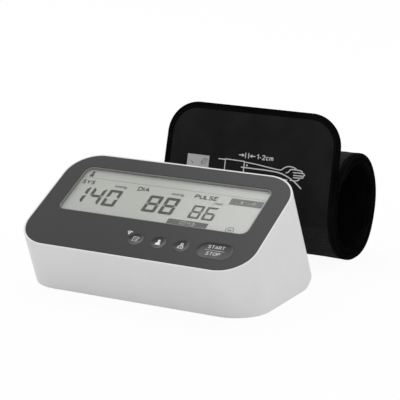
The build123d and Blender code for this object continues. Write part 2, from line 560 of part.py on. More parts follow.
manifold_y = (PUMP_Y + FEED_Y) / 2
manifold_top = AIR_Z + MANIFOLD_H / 2
with BuildPart() as air_manifold:
    mid_x = MANIFOLD_X + MANIFOLD_W / 2
    with Locations((mid_x, manifold_y, AIR_Z)):
        Box(MANIFOLD_W, MANIFOLD_L, MANIFOLD_H)
    fillet(air_manifold.edges().filter_by(Axis.X), MANIFOLD_EDGE_R)
    with Locations((mid_x, manifold_y, COVER_TOP)):
        Cylinder(MANIFOLD_POST_R, AIR_Z - COVER_TOP, align=STAND)
    nozzle(MANIFOLD_X, FEED_Y, -1)
    nozzle(MANIFOLD_X + MANIFOLD_W, PUMP_Y, 1)
    nozzle(MANIFOLD_X + MANIFOLD_W, FEED_Y, 1)
air_manifold.part.label = "air_manifold"
export_step(air_manifold.part, "parts/air_manifold.step")

with BuildPart() as release_valve:
    with Locations((VALVE_X + VALVE_W / 2, FEED_Y, COVER_TOP)):
        Box(VALVE_W, VALVE_L, VALVE_TOP - COVER_TOP, align=STAND)
    chamfer(release_valve.edges().filter_by(Axis.Z), VALVE_EDGE)
    nozzle(VALVE_X, FEED_Y, -1)
release_valve.part.label = "release_valve"
export_step(release_valve.part, "parts/release_valve.step")

with BuildPart() as pressure_sensor:
    with Locations((mid_x, manifold_y, manifold_top)):
        Box(SENSOR_W, SENSOR_W, SENSOR_H, align=STAND)
pressure_sensor.part.label = "pressure_sensor"
export_step(pressure_sensor.part, "parts/pressure_sensor.step")

with BuildPart() as sensor_board:
    with Locations((mid_x, manifold_y, manifold_top + SENSOR_H)):
        Box(SENSOR_BOARD_W, SENSOR_BOARD_W, BOARD_T, align=STAND)
sensor_board.part.label = "sensor_board"
export_step(sensor_board.part, "parts/sensor_board.step")

air_jack_end = -SIDE_X + SOCKET_SINK + AIR_JACK_L
hose_runs = [
    (air_jack_end, MANIFOLD_X, FEED_Y),
    (MANIFOLD_X + MANIFOLD_W, MOTOR_X - HEAD_L, PUMP_Y),
    (MANIFOLD_X + MANIFOLD_W, VALVE_X, FEED_Y),
]
with BuildPart() as air_hoses:
    for x_start, x_end, y in hose_runs:
        with Locations(((x_start + x_end) / 2, y, AIR_Z)):
            Cylinder(HOSE_R, x_end - x_start - HOSE_SPARE, rotation=ALONG_X)
            Cylinder(HOSE_BORE, x_end - x_start, rotation=ALONG_X, mode=Mode.SUBTRACT)
air_hoses.part.label = "air_hoses"
export_step(air_hoses.part, "parts/air_hoses.step")

# ---------------------------------------------------------------- sockets in the left wall
mouth_x = -SIDE_X + SOCKET_SINK
inner_wall_x = -SIDE_X + WALL
with BuildPart() as air_jack:
    with Locations((mouth_x + AIR_JACK_L / 2, FEED_Y, AIR_Z)):
        Cylinder(AIR_JACK_R, AIR_JACK_L, rotation=ALONG_X)
    with Locations((inner_wall_x + AIR_JACK_FLANGE_T / 2, FEED_Y, AIR_Z)):
        Cylinder(AIR_JACK_FLANGE_R, AIR_JACK_FLANGE_T, rotation=ALONG_X)
    with Locations((mouth_x + AIR_BORE_L / 2, FEED_Y, AIR_Z)):
        Cylinder(AIR_BORE_R, AIR_BORE_L, rotation=ALONG_X, mode=Mode.SUBTRACT)
    nozzle(air_jack_end, FEED_Y, 1)
air_jack.part.label = "air_jack"
export_step(air_jack.part, "parts/air_jack.step")

with BuildPart() as power_jack:
    with Locations((mouth_x + POWER_JACK_L / 2, POWER_JACK_Y, AIR_Z)):
        Cylinder(POWER_JACK_R, POWER_JACK_L, rotation=ALONG_X)
    with Locations(((inner_wall_x + mouth_x + POWER_JACK_L) / 2, POWER_JACK_Y, AIR_Z)):
        Box(mouth_x + POWER_JACK_L - inner_wall_x, POWER_JACK_BODY, POWER_JACK_BODY)
    with Locations((mouth_x + POWER_BORE_L / 2, POWER_JACK_Y, AIR_Z)):
        Cylinder(POWER_BORE_R, POWER_BORE_L, rotation=ALONG_X, mode=Mode.SUBTRACT)
    with Locations((mouth_x + POWER_BORE_L / 2 + POWER_PIN_SINK, POWER_JACK_Y, AIR_Z)):
        Cylinder(POWER_PIN_R, POWER_BORE_L, rotation=ALONG_X)
power_jack.part.label = "power_jack"
export_step(power_jack.part, "parts/power_jack.step")


# ---------------------------------------------------------------- cuff
def quarter(index):
    """Centre and radius of one quarter arc of the roll's middle line."""
    y_step, z_step = [(0, 0), (0, -1), (1, -1), (1, 0)][index % 4]
    centre = (CUFF_Y + y_step * ROLL_STEP, CUFF_Z + z_step * ROLL_STEP)
    return centre, ROLL_R - index * ROLL_STEP


def roll_arcs(offset, start, end):
    """The arcs of the rolled strip's line at an offset, between two angles."""
    index = 0
    while 180 + 90 * index < end:
        low = start if index == 0 else max(start, 180 + 90 * index)
        high = min(end, 270 + 90 * index)
        centre, radius = quarter(index)
        if high > low:
            CenterArc(centre, radius + offset, low, high - low)
        index += 1


def roll_point(offset, angle):
    """A point (y, z) on the rolled strip."""
    centre, radius = quarter(max(0, int((angle - 180) // 90)))
    reach = radius + offset
    return (centre[0] + reach * cos(radians(angle)), centre[1] + reach * sin(radians(angle)))


def roll_layer(layer, start, end, left, right):
    """A solid layer of the roll between two angles and from left to right."""
    inside, outside = layer
    with BuildSketch(Plane.YZ.offset(left)) as section:
        with BuildLine():
            roll_arcs(outside, start, end)
            roll_arcs(inside, start, end)
            Line(roll_point(outside, start), roll_point(inside, start))
            Line(roll_point(outside, end), roll_point(inside, end))
        make_face()
    extrude(section.sketch, amount=right - left)


skin_left, skin_right = CUFF_LEFT + BIND_W, CUFF_RIGHT - BIND_W
skin_end = ROLL_END - END_TAPE_ANGLE
port_y, port_z = roll_point(TAPE[1] + PORT_R + PORT_GAP, PORT_ANGLE)

with BuildPart() as cuff_outer_cover:
    roll_layer(OUTER_SKIN, ROLL_START, SEAM_ANGLE, skin_left, skin_right)
cuff_outer_cover.part.label = "cuff_outer_cover"
export_step(cuff_outer_cover.part, "parts/cuff_outer_cover.step")

with BuildPart() as cuff_loop_panel:
    roll_layer(OUTER_SKIN, SEAM_ANGLE, skin_end, skin_left, skin_right)
cuff_loop_panel.part.label = "cuff_loop_panel"
export_step(cuff_loop_panel.part, "parts/cuff_loop_panel.step")

with BuildPart() as cuff_curler:
    curler_start, curler_end = ROLL_START + CURLER_END_ANGLE, skin_end - CURLER_END_ANGLE
    curler_sides = (skin_left + CURLER_INSET, skin_right - CURLER_INSET)
    roll_layer(CURLER, curler_start, curler_end, *curler_sides)
cuff_curler.part.label = "cuff_curler"
export_step(cuff_curler.part, "parts/cuff_curler.step")

with BuildPart() as cuff_bladder:
    bladder_sides = (skin_left + BLADDER_INSET, skin_right - BLADDER_INSET)
    roll_layer(BLADDER, BLADDER_START, BLADDER_END, *bladder_sides)
cuff_bladder.part.label = "cuff_bladder"
export_step(cuff_bladder.part, "parts/cuff_bladder.step")

with BuildPart() as cuff_inner_cover:
    roll_layer(INNER_SKIN, ROLL_START, skin_end, skin_left, skin_right)
cuff_inner_cover.part.label = "cuff_inner_cover"
export_step(cuff_inner_cover.part, "parts/cuff_inner_cover.step")

with BuildPart() as cuff_edge_binding:
    roll_layer(TAPE, ROLL_START, ROLL_END, CUFF_LEFT, skin_left)
    roll_layer(TAPE, ROLL_START, ROLL_END, skin_right, CUFF_RIGHT)
    roll_layer(TAPE, skin_end, ROLL_END, skin_left, skin_right)
cuff_edge_binding.part.label = "cuff_edge_binding"
export_step(cuff_edge_binding.part, "parts/cuff_edge_binding.step")

with BuildPart() as cuff_air_port:
    with Locations((CUFF_LEFT + PORT_L / 2, port_y, port_z)):
        Cylinder(PORT_R, PORT_L, rotation=ALONG_X)
    with Locations((CUFF_LEFT - PORT_PIN_L / 2, port_y, port_z)):
        Cylinder(PORT_PIN_R, PORT_PIN_L, rotation=ALONG_X)
    with Locations((CUFF_LEFT - PORT_PIN_L / 2, port_y, port_z)):
        Cylinder(NOZZLE_R, PORT_PIN_L + 2 * PORT_R, rotation=ALONG_X, mode=Mode.SUBTRACT)
cuff_air_port.part.label = "cuff_air_port"
export_step(cuff_air_port.part, "parts/cuff_air_port.step")

# ---------------------------------------------------------------- flap
flap_y, flap_z = roll_point(0, ROLL_START)
flap = Plane(
    origin=(CUFF_MID_X, flap_y, flap_z),
    x_dir=(1, 0, 0),
    z_dir=(0, cos(radians(ROLL_START)), sin(radians(ROLL_START))),
)


def flap_outline(inset, offset):
    """The flap's outline with rounded top corners, drawn in by inset on three sides."""
    height = FLAP_L - inset - FLAP_GAP
    with BuildSketch(flap.offset(offset)) as outline:
        with Locations((0, FLAP_GAP + height / 2)):
            Rectangle(CUFF_W - 2 * inset, height)
        fillet(outline.vertices().group_by(Axis.Y)[-1], FLAP_R - inset)
    return outline.sketch


def flap_layer(layer, inset):
    """A solid layer of the flap between two offsets."""
    extrude(flap_outline(inset, layer[0]), amount=layer[1] - layer[0])


with BuildPart() as flap_cover:
    flap_layer(OUTER_SKIN, BIND_W)
flap_cover.part.label = "flap_cover"
export_step(flap_cover.part, "parts/flap_cover.step")

with BuildPart() as flap_core:
    flap_layer(CURLER, BIND_W + CURLER_INSET)
flap_core.part.label = "flap_core"
export_step(flap_core.part, "parts/flap_core.step")

with BuildPart() as flap_lining:
    flap_layer(BLADDER, BIND_W)
flap_lining.part.label = "flap_lining"
export_step(flap_lining.part, "parts/flap_lining.step")

with BuildPart() as flap_hook_patch:
    with BuildSketch(flap.offset(INNER_SKIN[0])):
        with Locations((0, HOOK_MID)):
            RectangleRounded(HOOK_W, HOOK_L, HOOK_CORNER_R)
    extrude(amount=INNER_SKIN[1] - INNER_SKIN[0])
flap_hook_patch.part.label = "flap_hook_patch"
export_step(flap_hook_patch.part, "parts/flap_hook_patch.step")

with BuildPart() as flap_binding:
    flap_layer(TAPE, 0)
    extrude(flap_outline(BIND_W, TAPE[0]), amount=TAPE[1] - TAPE[0], mode=Mode.SUBTRACT)
flap_binding.part.label = "flap_binding"
export_step(flap_binding.part, "parts/flap_binding.step")

# ---------------------------------------------------------------- figures for the record
hinge_y, hinge_z = roll_point(TAPE[1], ROLL_START)
print("flap hinge", round(hinge_y, 3), round(hinge_z, 3))
print("battery hinge", round(HINGE_Y, 3), round(HINGE_Z, 3))
print("cuff port", round(port_y, 3), round(port_z, 3))
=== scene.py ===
from math import atan2, cos, hypot, pi, radians, sin, tan

import bmesh
import bpy
import numpy as np
from mathutils import Matrix, Vector, noise
from mathutils.kdtree import KDTree


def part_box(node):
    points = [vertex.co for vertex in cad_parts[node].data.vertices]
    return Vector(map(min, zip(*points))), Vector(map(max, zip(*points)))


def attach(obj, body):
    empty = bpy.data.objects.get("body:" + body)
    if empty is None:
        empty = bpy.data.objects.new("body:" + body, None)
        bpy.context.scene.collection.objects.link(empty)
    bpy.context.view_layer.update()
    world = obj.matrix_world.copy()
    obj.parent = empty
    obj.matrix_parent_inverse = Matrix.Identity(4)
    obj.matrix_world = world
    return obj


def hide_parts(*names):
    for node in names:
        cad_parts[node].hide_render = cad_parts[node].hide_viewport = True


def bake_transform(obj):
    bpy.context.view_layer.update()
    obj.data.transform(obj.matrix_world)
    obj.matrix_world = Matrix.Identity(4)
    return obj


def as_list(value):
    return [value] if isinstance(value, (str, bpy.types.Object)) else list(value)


# A table-top blood pressure monitor and its rolled cuff, dressed round the solids of the frame.
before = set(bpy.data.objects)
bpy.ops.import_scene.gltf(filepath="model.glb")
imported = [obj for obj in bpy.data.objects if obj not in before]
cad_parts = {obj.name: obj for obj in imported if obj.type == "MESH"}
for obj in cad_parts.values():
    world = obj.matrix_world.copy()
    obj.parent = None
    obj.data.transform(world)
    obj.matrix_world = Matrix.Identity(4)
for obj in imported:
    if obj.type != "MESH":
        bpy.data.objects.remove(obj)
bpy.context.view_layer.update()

# ================================================================ sizes, in metres
MM = 0.001

# The sloping face, its panel and its window
FACE_TILT = radians(27)
FACE_CENTRE = Vector((0, -72.5, 61.5)) * MM
FACE_UP = Vector((0, cos(FACE_TILT), sin(FACE_TILT)))
FACE_OUT = Vector((0, -sin(FACE_TILT), cos(FACE_TILT)))
FACE_L, FACE_R = 106.2 * MM, 26 * MM
RIM_W = 1.5 * MM
BODY_W = 191 * MM
BASE_FRONT, BASE_BACK, BASE_Z = -105.5 * MM, 1.0 * MM, 0.3 * MM
BASE_FRONT_R, BASE_BACK_R = 27.4 * MM, 6 * MM
HEEL_R = 16 * MM             # round between the base and the back wall
COVER_BACK, COVER_TOP = -21.6 * MM, 2.7 * MM
WALL, WALL_LEAN = 2.5 * MM, -0.12
POCKET_DEPTH, LEDGE_W, LEDGE_DEPTH = 2.5 * MM, 4.5 * MM, 6.2 * MM
LCD_DEPTH = 2.5 * MM
BOSSES = [(x * MM, y * MM) for x in (-83, 83) for y in (-80.3, -27.3)]
BOSS_TOP, SCREW_END = 14.5 * MM, 12 * MM
BOSS_R, BOSS_BORE, BOSS_CHAMFER = 4 * MM, 1.4 * MM, 0.3 * MM
RIB_HALF_W, RIB_START, RIB_BITE = 1.0 * MM, 2.5 * MM, 0.2 * MM
SOCKETS = ((-33.8 * MM, 22 * MM, 5.5 * MM), (-48.3 * MM, 22 * MM, 4.5 * MM))     # y, z and radius

# Buttons
BUTTON_Y = -33 * MM
SMALL_BUTTON_R = 6.1 * MM
SMALL_BUTTONS = {"memory_button": 0.0, "user_one_button": 18.5 * MM, "user_two_button": 37 * MM}
START_X, START_W, START_L, START_R = 63.5 * MM, 28 * MM, 16.4 * MM, 7.9 * MM
DISH_DEPTH, DISH_EDGE, BUTTON_LIP = 1.3 * MM, 0.35 * MM, 0.15 * MM
DISH_STEP, DISH_STEP_W = 0.45 * MM, 0.5 * MM
FLANGE_TOP, FLANGE_BOTTOM, FLANGE_EXTRA = 2.4 * MM, 3.4 * MM, 1.2 * MM
STEM_R, STEM_END = 2.5 * MM, 10.2 * MM

# The strip that the cuff is rolled from
ROLL_Y, ROLL_Z = 77.3 * MM, 43.5 * MM
ROLL_R, ROLL_STEP = 41.5 * MM, 1.1 * MM
FOLD_ANGLE, SEAM_ANGLE, INNER_END_ANGLE = 168.7, 197.0, 871.0
CUFF_LEFT, CUFF_RIGHT = -54.5 * MM, 93.5 * MM
CUFF_MID_X, CUFF_W = 19.5 * MM, 148 * MM
FLAP_L, FLAP_R = 68 * MM, 25.4 * MM
INNER_CORNER_R = 16 * MM
TAPE_W, TAPE_HALF = 4.8 * MM, 2.0 * MM
SKIN_TOP, SKIN_LOW, CURLER_TOP = 1.9 * MM, 1.1 * MM, 1.0 * MM
LINING_TOP, LINING_LOW = 1.0 * MM, 1.9 * MM


# ================================================================ shader maths
# Which of the Mix node's sockets carry a colour mix
MIX_AMOUNT, MIX_FIRST, MIX_SECOND, MIX_RESULT = 0, 6, 7, 2


class Wire:
    """A value in a node tree. Arithmetic on it adds Math nodes."""

    def __init__(self, nodes, socket):
        self.nodes, self.socket = nodes, socket

    def maths(self, operation, *others):
        inputs = {index: item for index, item in enumerate((self, *others))}
        return self.nodes.add("Math", {"operation": operation}, inputs)

    def __add__(self, other):
        return self.maths("ADD", other)

    __radd__ = __add__

    def __mul__(self, other):
        return self.maths("MULTIPLY", other)

    __rmul__ = __mul__

    def __sub__(self, other):
        return self.maths("SUBTRACT", other)

    def __rsub__(self, other):
        return self.nodes.add("Math", {"operation": "SUBTRACT"}, {0: other, 1: self})

    def __abs__(self):
        return self.maths("ABSOLUTE")

    def sine(self):
        return self.maths("SINE")

    def step(self, low, high):
        """0 below low, 1 above high, and a soft step between."""
        settings = {"interpolation_type": "SMOOTHSTEP"}
        return self.nodes.add("MapRange", settings, {"Value": self, "From Min": low, "From Max": high})

    def spread(self, low, high):
        """0..1 stretched to low..high."""
        return self * (high - low) + low


class Nodes:
    """The nodes of a material or of the world."""

    def __init__(self, tree):
        self.tree = tree

    def add(self, kind, settings=None, inputs=None, output=0):
        """Adds a node of a kind with its settings, then the values or wires of its inputs."""
        node = self.tree.nodes.new("ShaderNode" + kind)
        for key, value in (settings or {}).items():
            setattr(node, key, value)
        for key, value in (inputs or {}).items():
            self.feed(node.inputs[key], value)
        return Wire(self, node.outputs[output])

    def feed(self, socket, value):
        if isinstance(value, Wire):
            self.tree.links.new(value.socket, socket)
        else:
            socket.default_value = value

    def in_plain_sight(self):
        """1 for what is seen straight, in a reflection or through the lens, else 0."""
        seen = self.add("LightPath", output="Is Camera Ray")
        for ray in ("Is Glossy Ray", "Is Transmission Ray"):
            seen = seen.maths("MAXIMUM", self.add("LightPath", output=ray))
        return seen


class Paint(Nodes):
    """One material and its nodes."""

    def __init__(self, name, colour, roughness, **constants):
        self.material = bpy.data.materials.new(name)
        self.material.use_nodes = True
        super().__init__(self.material.node_tree)
        self.shader = self.tree.nodes["Principled BSDF"]
        self.shader.inputs["Base Color"].default_value = (*colour, 1)
        self.shader.inputs["Roughness"].default_value = roughness
        for socket, value in constants.items():
            self.shader.inputs[socket.replace("_", " ")].default_value = value

    def place(self, scale=(1, 1, 1), turn=(0, 0, 0)):
        """Object coordinates, scaled and turned."""
        spot = self.add("TexCoord", output="Object")
        return self.add("Mapping", {}, {"Vector": spot, "Scale": scale, "Rotation": turn})

    def cloth(self, scale=1.0):
        """Metres across and along the cloth, times a scale."""
        spot = self.add("UVMap", {"uv_map": "cloth"})
        return self.add("Mapping", {}, {"Vector": spot, "Scale": (scale, scale, scale)})

    def parts(self, spot):
        """The x, y and z of a vector."""
        outputs = self.add("SeparateXYZ", {}, {0: spot}).socket.node.outputs
        return [Wire(self, output) for output in outputs]

    def noise(self, spot, scale, detail=3.0, rough=0.5):
        inputs = {"Vector": spot, "Scale": scale, "Detail": detail, "Roughness": rough}
        return self.add("TexNoise", {}, inputs)

    def mix(self, amount, first, second):
        """A colour between two others."""
        inputs = {MIX_AMOUNT: amount, MIX_FIRST: wide(first), MIX_SECOND: wide(second)}
        return self.add("Mix", {"data_type": "RGBA"}, inputs, MIX_RESULT)

    def colour(self, value):
        self.feed(self.shader.inputs["Base Color"], value)

    def roughness(self, value):
        self.feed(self.shader.inputs["Roughness"], value)

    def relief(self, height, depth, strength=1.0):
        """Bumps the surface by height times depth, in metres."""
        inputs = {"Height": height, "Distance": depth, "Strength": strength}
        self.feed(self.shader.inputs["Normal"], self.add("Bump", {}, inputs))


def wide(colour):
    """A colour with its alpha; a wire passes through."""
    return colour if isinstance(colour, Wire) else (*colour, 1)


def shade(colour, factor):
    """A colour made lighter or darker."""
    return tuple(min(1.0, part * factor) for part in colour)


# ================================================================ finishes
def moulded(name, colour, roughness=0.42, grain=0.00002, mottle=0.03, **constants):
    """Injection-moulded plastic: a fine spark-eroded grain and faint flow marks."""
    paint = Paint(name, colour, roughness, **constants)
    spot = paint.place()
    flow = paint.noise(spot, scale=40, detail=2)
    paint.colour(paint.mix(flow, shade(colour, 1 - mottle), shade(colour, 1 + mottle)))
    pits = paint.noise(spot, scale=2600, detail=2, rough=0.6)
    paint.roughness(pits.spread(roughness - 0.05, roughness + 0.05))
    paint.relief(pits, grain, 0.5)
    return paint.material


def polished(name, colour, roughness=0.3, **constants):
    """Polished plastic: soft waviness from the mould and finer marks in its gloss."""
    paint = Paint(name, colour, roughness, **constants)
    spot = paint.place()
    wave = paint.noise(spot, scale=55, detail=2)
    marks = paint.noise(spot, scale=900, detail=3)
    paint.roughness(marks.spread(roughness - 0.06, roughness + 0.06))
    paint.colour(paint.mix(wave, shade(colour, 0.96), colour))
    paint.relief(wave, 0.00003, 0.3)
    return paint.material


def rubbery(name, colour=(0.02, 0.02, 0.021)):
    """Matte moulded rubber with a dusty bloom."""
    paint = Paint(name, colour, 0.8)
    spot = paint.place()
    bloom = paint.noise(spot, scale=120, detail=4)
    paint.colour(paint.mix(bloom, colour, shade(colour, 1.7)))
    paint.relief(paint.noise(spot, scale=1800, detail=2), 0.00003, 0.6)
    return paint.material


def metal(name, colour, roughness=0.3, grain=(30, 900, 900)):
    """Drawn or rolled metal with a fine grain along one way."""
    paint = Paint(name, colour, roughness, Metallic=1.0)
    lines = paint.noise(paint.place(grain), scale=1.0, detail=4)
    paint.roughness(lines.spread(roughness - 0.08, roughness + 0.12))
    paint.colour(paint.mix(lines, shade(colour, 0.85), colour))
    paint.relief(lines, 0.00001, 0.4)
    return paint.material


def circuit_board(name):
    """Solder mask over copper tracks, turned with the board."""
    paint = Paint(name, (0.01, 0.09, 0.035), 0.35, Coat_Weight=0.3)
    spot = paint.place(turn=(-FACE_TILT, 0, 0))
    settings = {"feature": "F1", "distance": "MANHATTAN"}
    cells = paint.add("TexVoronoi", settings, {"Vector": spot, "Scale": 260.0})
    tracks = (cells * 22.0).sine().step(0.5, 0.8)
    paint.colour(paint.mix(tracks, (0.008, 0.07, 0.028), (0.02, 0.16, 0.06)))
    paint.relief(tracks, 0.00003, 0.6)
    return paint.material


def clear_lens(name):
    """Hard-coated clear acrylic."""
    paint = Paint(name, (0.25, 0.25, 0.25), 0.06, Alpha=0.03)
    marks = paint.noise(paint.place(), scale=300, detail=3)
    paint.roughness(marks.spread(0.04, 0.09))
    return paint.material


def reflective_cell(name):
    """The grey-green reflector behind the display's marks, with a fine sparkle and painted light: its
    colour is painted lighter towards the right.
    """
    paint = Paint(name, LCD_SHADED_SIDE, 0.45, Specular_IOR_Level=0.25)
    spot = paint.place()
    # Painted light: the reflector's colour goes from painted shade at the left to lighter at the right.
    across = paint.parts(spot)[0].step(*LCD_PAINTED_LIGHT_RISE)
    sparkle = paint.noise(spot, scale=4000, detail=1)
    base = paint.mix(across, LCD_SHADED_SIDE, LCD_LIT_SIDE)
    paint.colour(paint.mix(sparkle * 0.15, base, shade(LCD_SHADED_SIDE, 0.7)))
    paint.relief(sparkle, 0.000005, 0.3)
    return paint.material


def printed(name, colour, roughness=0.5):
    """Screen-printed ink, nearly flat and slightly uneven in tone."""
    paint = Paint(name, colour, roughness, Specular_IOR_Level=0.25)
    dots = paint.noise(paint.place(), scale=3000, detail=2)
    paint.colour(paint.mix(dots, shade(colour, 0.9), shade(colour, 1.05)))
    return paint.material


def woven(name, dark, light, pitch=0.0007, depth=0.00006, roughness=0.6, **constants):
    """Plain-weave nylon: threads cross over and under at a pitch, in metres, with broad patches of painted
    sheen in its colour.
    """
    paint = Paint(name, dark, roughness, **constants)
    spot = paint.cloth(2 * pi / pitch)
    across, along, _ = paint.parts(spot)
    over = across.sine() * along.sine()
    threads = abs((across * 0.5).sine()) + abs((along * 0.5).sine())
    weave = over * 0.35 + threads * 0.4
    # Painted sheen: broad soft patches painted lighter, as if the cloth caught the light there.
    painted_sheen = paint.noise(paint.cloth(), scale=34, detail=4, rough=0.45).step(0.3, 0.7)
    paint.colour(paint.mix(painted_sheen * 0.65 + weave * 0.3, dark, light))
    paint.roughness(weave.spread(roughness - 0.05, roughness + 0.08))
    paint.relief(weave, depth, 0.8)
    return paint.material


def loop_pile(name, dark, light):
    """Brushed loop fabric: matted curls over a dark ground."""
    paint = Paint(name, dark, 0.95, Sheen_Weight=0.03, Sheen_Roughness=0.6, Specular_IOR_Level=0.05)
    curls = paint.noise(paint.cloth(), scale=1500, detail=5, rough=0.7)
    mats = paint.noise(paint.cloth(), scale=420, detail=3, rough=0.55)
    threads = 1 - abs(mats - 0.5).step(0.0, 0.06)
    amount = curls.step(0.35, 0.7) * 0.45 + threads * 0.55
    paint.colour(paint.mix(amount, dark, light))
    paint.relief(amount, 0.0004, 1.0)
    return paint.material


# The display reflector's colour at its left and right ends; the right is painted lighter, as if more light
# fell there
LCD_SHADED_SIDE, LCD_LIT_SIDE = (0.43, 0.446, 0.409), (0.555, 0.571, 0.54)
LCD_PAINTED_LIGHT_RISE = (-0.035, 0.085)     # where across the display the painted light rises, from painted shade on the left to the lit right
white_plastic = moulded("white_plastic", (0.68, 0.68, 0.68), 0.42)
cover_plastic = moulded("white_cover_plastic", (0.66, 0.66, 0.66), 0.5, 0.00003)
satin = {"Specular_IOR_Level": 0.25}
panel_plastic = moulded("dark_panel_plastic", (0.011, 0.011, 0.0114), 0.36, 0.00001, 0.02, **satin)
button_plastic = polished("dark_button_plastic", (0.006, 0.006, 0.0062), 0.36, Specular_IOR_Level=0.45)
frame_plastic = polished("grey_frame_plastic", (0.19, 0.195, 0.19), 0.4)
jack_plastic = moulded("grey_jack_plastic", (0.2, 0.21, 0.22), 0.4)
inner_plastic = moulded("natural_inner_plastic", (0.55, 0.55, 0.53), 0.5)
black_plastic = moulded("black_component_plastic", (0.02, 0.02, 0.02), 0.45)
curler_plastic = polished("curler_plastic", (0.55, 0.56, 0.58), 0.35)
feet_rubber = rubbery("feet_rubber")
hose_rubber = rubbery("hose_rubber", (0.1, 0.1, 0.1))
gasket_foam = rubbery("gasket_foam", (0.06, 0.06, 0.06))
bladder_rubber = rubbery("bladder_rubber", (0.045, 0.04, 0.038))
board_finish = circuit_board("circuit_board")
steel = metal("plated_steel", (0.6, 0.6, 0.6))
motor_steel = metal("motor_can_steel", (0.55, 0.55, 0.57), 0.35, (900, 60, 60))
cell_can = metal("cell_wrap", (0.14, 0.2, 0.42), 0.32, (300, 40, 300))
lens_finish = clear_lens("display_lens_acrylic")
lcd_finish = reflective_cell("display_cell")
dark_mark = printed("display_mark", (0.055, 0.06, 0.055))
word_mark = printed("display_word", (0.045, 0.05, 0.045))
unit_mark = printed("display_unit", (0.17, 0.177, 0.17))
small_mark = printed("display_small_digit", (0.09, 0.095, 0.09))
band_mark = printed("display_band", (0.16, 0.166, 0.16))
low_band_mark = printed("display_low_band", (0.095, 0.099, 0.095))
band_light_mark = printed("display_band_light", (0.36, 0.37, 0.36))
pale_mark = printed("display_faint_mark", (0.27, 0.28, 0.265))
white_ink = printed("white_key_print", (0.75, 0.75, 0.75))
soft_ink = printed("soft_key_print", (0.5, 0.5, 0.5))
label_ink = printed("label_print", (0.03, 0.03, 0.03))
cuff_ink = printed("cuff_print", (0.6, 0.6, 0.6), 0.6)
label_cloth = printed("cuff_label", (0.42, 0.42, 0.42), 0.7)
dull = {"Specular_IOR_Level": 0.08, "Sheen_Weight": 0.02}
matte = {"Specular_IOR_Level": 0.0, "Sheen_Weight": 0.0}
cover_nylon = woven("cover_nylon", (0.0035, 0.0035, 0.0037), (0.0115, 0.0115, 0.012), **dull)
lining_nylon = woven("lining_nylon", (0.002, 0.002, 0.0022), (0.004, 0.004, 0.0043), **matte)
tape_nylon = woven("binding_tape", (0.0018, 0.0018, 0.002), (0.005, 0.005, 0.0053), 0.0009, 0.0001, **matte)
loop_cloth = loop_pile("loop_pile", (0.003, 0.003, 0.0032), (0.03, 0.03, 0.0307))
hook_cloth = moulded("hook_tape", (0.006, 0.006, 0.006), 0.5, Specular_IOR_Level=0.1)
thread = polished("black_thread", (0.004, 0.004, 0.004), 0.5, Specular_IOR_Level=0.1)


# ================================================================ making meshes
def in_scene(name, data):
    """An object at the origin, linked to the scene."""
    thing = bpy.data.objects.new(name, data)
    bpy.context.collection.objects.link(thing)
    return thing


def new_object(name, points, faces, material, sharp=35):
    """A closed mesh at the origin with its normals outwards and its edges sharp past an angle."""
    mesh = bpy.data.meshes.new(name)
    mesh.from_pydata([tuple(point) for point in points], [], faces)
    work = bmesh.new()
    work.from_mesh(mesh)
    bmesh.ops.remove_doubles(work, verts=work.verts, dist=1e-7)
    bmesh.ops.recalc_face_normals(work, faces=work.faces)
    work.to_mesh(mesh)
    work.free()
    mesh.materials.append(material)
    mesh.shade_smooth()
    mesh.set_sharp_from_angle(angle=radians(sharp))
    return in_scene(name, mesh)


def fit_out(thing, body, slot, *nodes):
    """Puts a finished piece on its body and hides the CAD nodes it stands for. The slot is not used."""
    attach(thing, body)
    if nodes:
        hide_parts(*nodes)
    return thing


def rings_to_mesh(rings, join_ends=False):
    """Points and faces of rings of equal count, capped at both ends or joined end to end."""
    count = len(rings[0])
    points = [point for ring in rings for point in ring]
    faces = []
    for low in range(len(rings) if join_ends else len(rings) - 1):
        high = (low + 1) % len(rings)
        for i in range(count):
            j = (i + 1) % count
            faces.append((low * count + i, low * count + j, high * count + j, high * count + i))
    if not join_ends:
        faces.append(tuple(range(count)))
        faces.append(tuple(range(len(points) - count, len(points))))
    return points, faces


def rounded_ring(width, length, radii, mid=(0, 0), steps=14, sides=((0.02, 0.5, 0.98),) * 4):
    """Points round a rectangle with rounded corners: back right, back left, front left and right."""
    arcs = []
    for index, (side, end) in enumerate(((1, 1), (-1, 1), (-1, -1), (1, -1))):
        radius = radii[index]
        x, y = mid[0] + side * (width / 2 - radius), mid[1] + end * (length / 2 - radius)
        turns = [(index + step / steps) * pi / 2 for step in range(steps + 1)]
        arcs.append([(x + radius * cos(turn), y + radius * sin(turn)) for turn in turns])
    points = []
    for index, arc in enumerate(arcs):
        (x0, y0), (x1, y1) = arc[-1], arcs[(index + 1) % 4][0]
        points += arc
        points += [(x0 + (x1 - x0) * share, y0 + (y1 - y0) * share) for share in sides[index]]
    return points


def on_face(x, y, depth=0.0):
    """A point on the sloping face, x across and y up the slope, sunk by a depth."""
    return FACE_CENTRE + Vector((x, 0, 0)) + FACE_UP * y - FACE_OUT * depth


def round_over(start, corner, end, steps=5):
    """Points of a fillet from start to end, round a corner."""
    curve = []
    for step in range(steps + 1):
        t = step / steps
        parts = ((1 - t) ** 2, 1.5 * t * (1 - t), t * t)
        total = sum(parts)
        curve.append((start * parts[0] + corner * parts[1] + end * parts[2]) / total)
    return curve


def bake(thing):
    """Turns a piece's modifiers into plain geometry."""
    mesh = bpy.data.meshes.new_from_object(thing.evaluated_get(bpy.context.evaluated_depsgraph_get()))
    thing.modifiers.clear()
    thing.data = mesh


def combine(thing, operation, others):
    """Cuts other meshes out of one or joins them to it, and deletes them."""
    for other in others:
        tool = thing.modifiers.new("combine", "BOOLEAN")
        tool.operation, tool.solver, tool.object = operation, "EXACT", other
    bake(thing)
    for other in others:
        bpy.data.objects.remove(other)


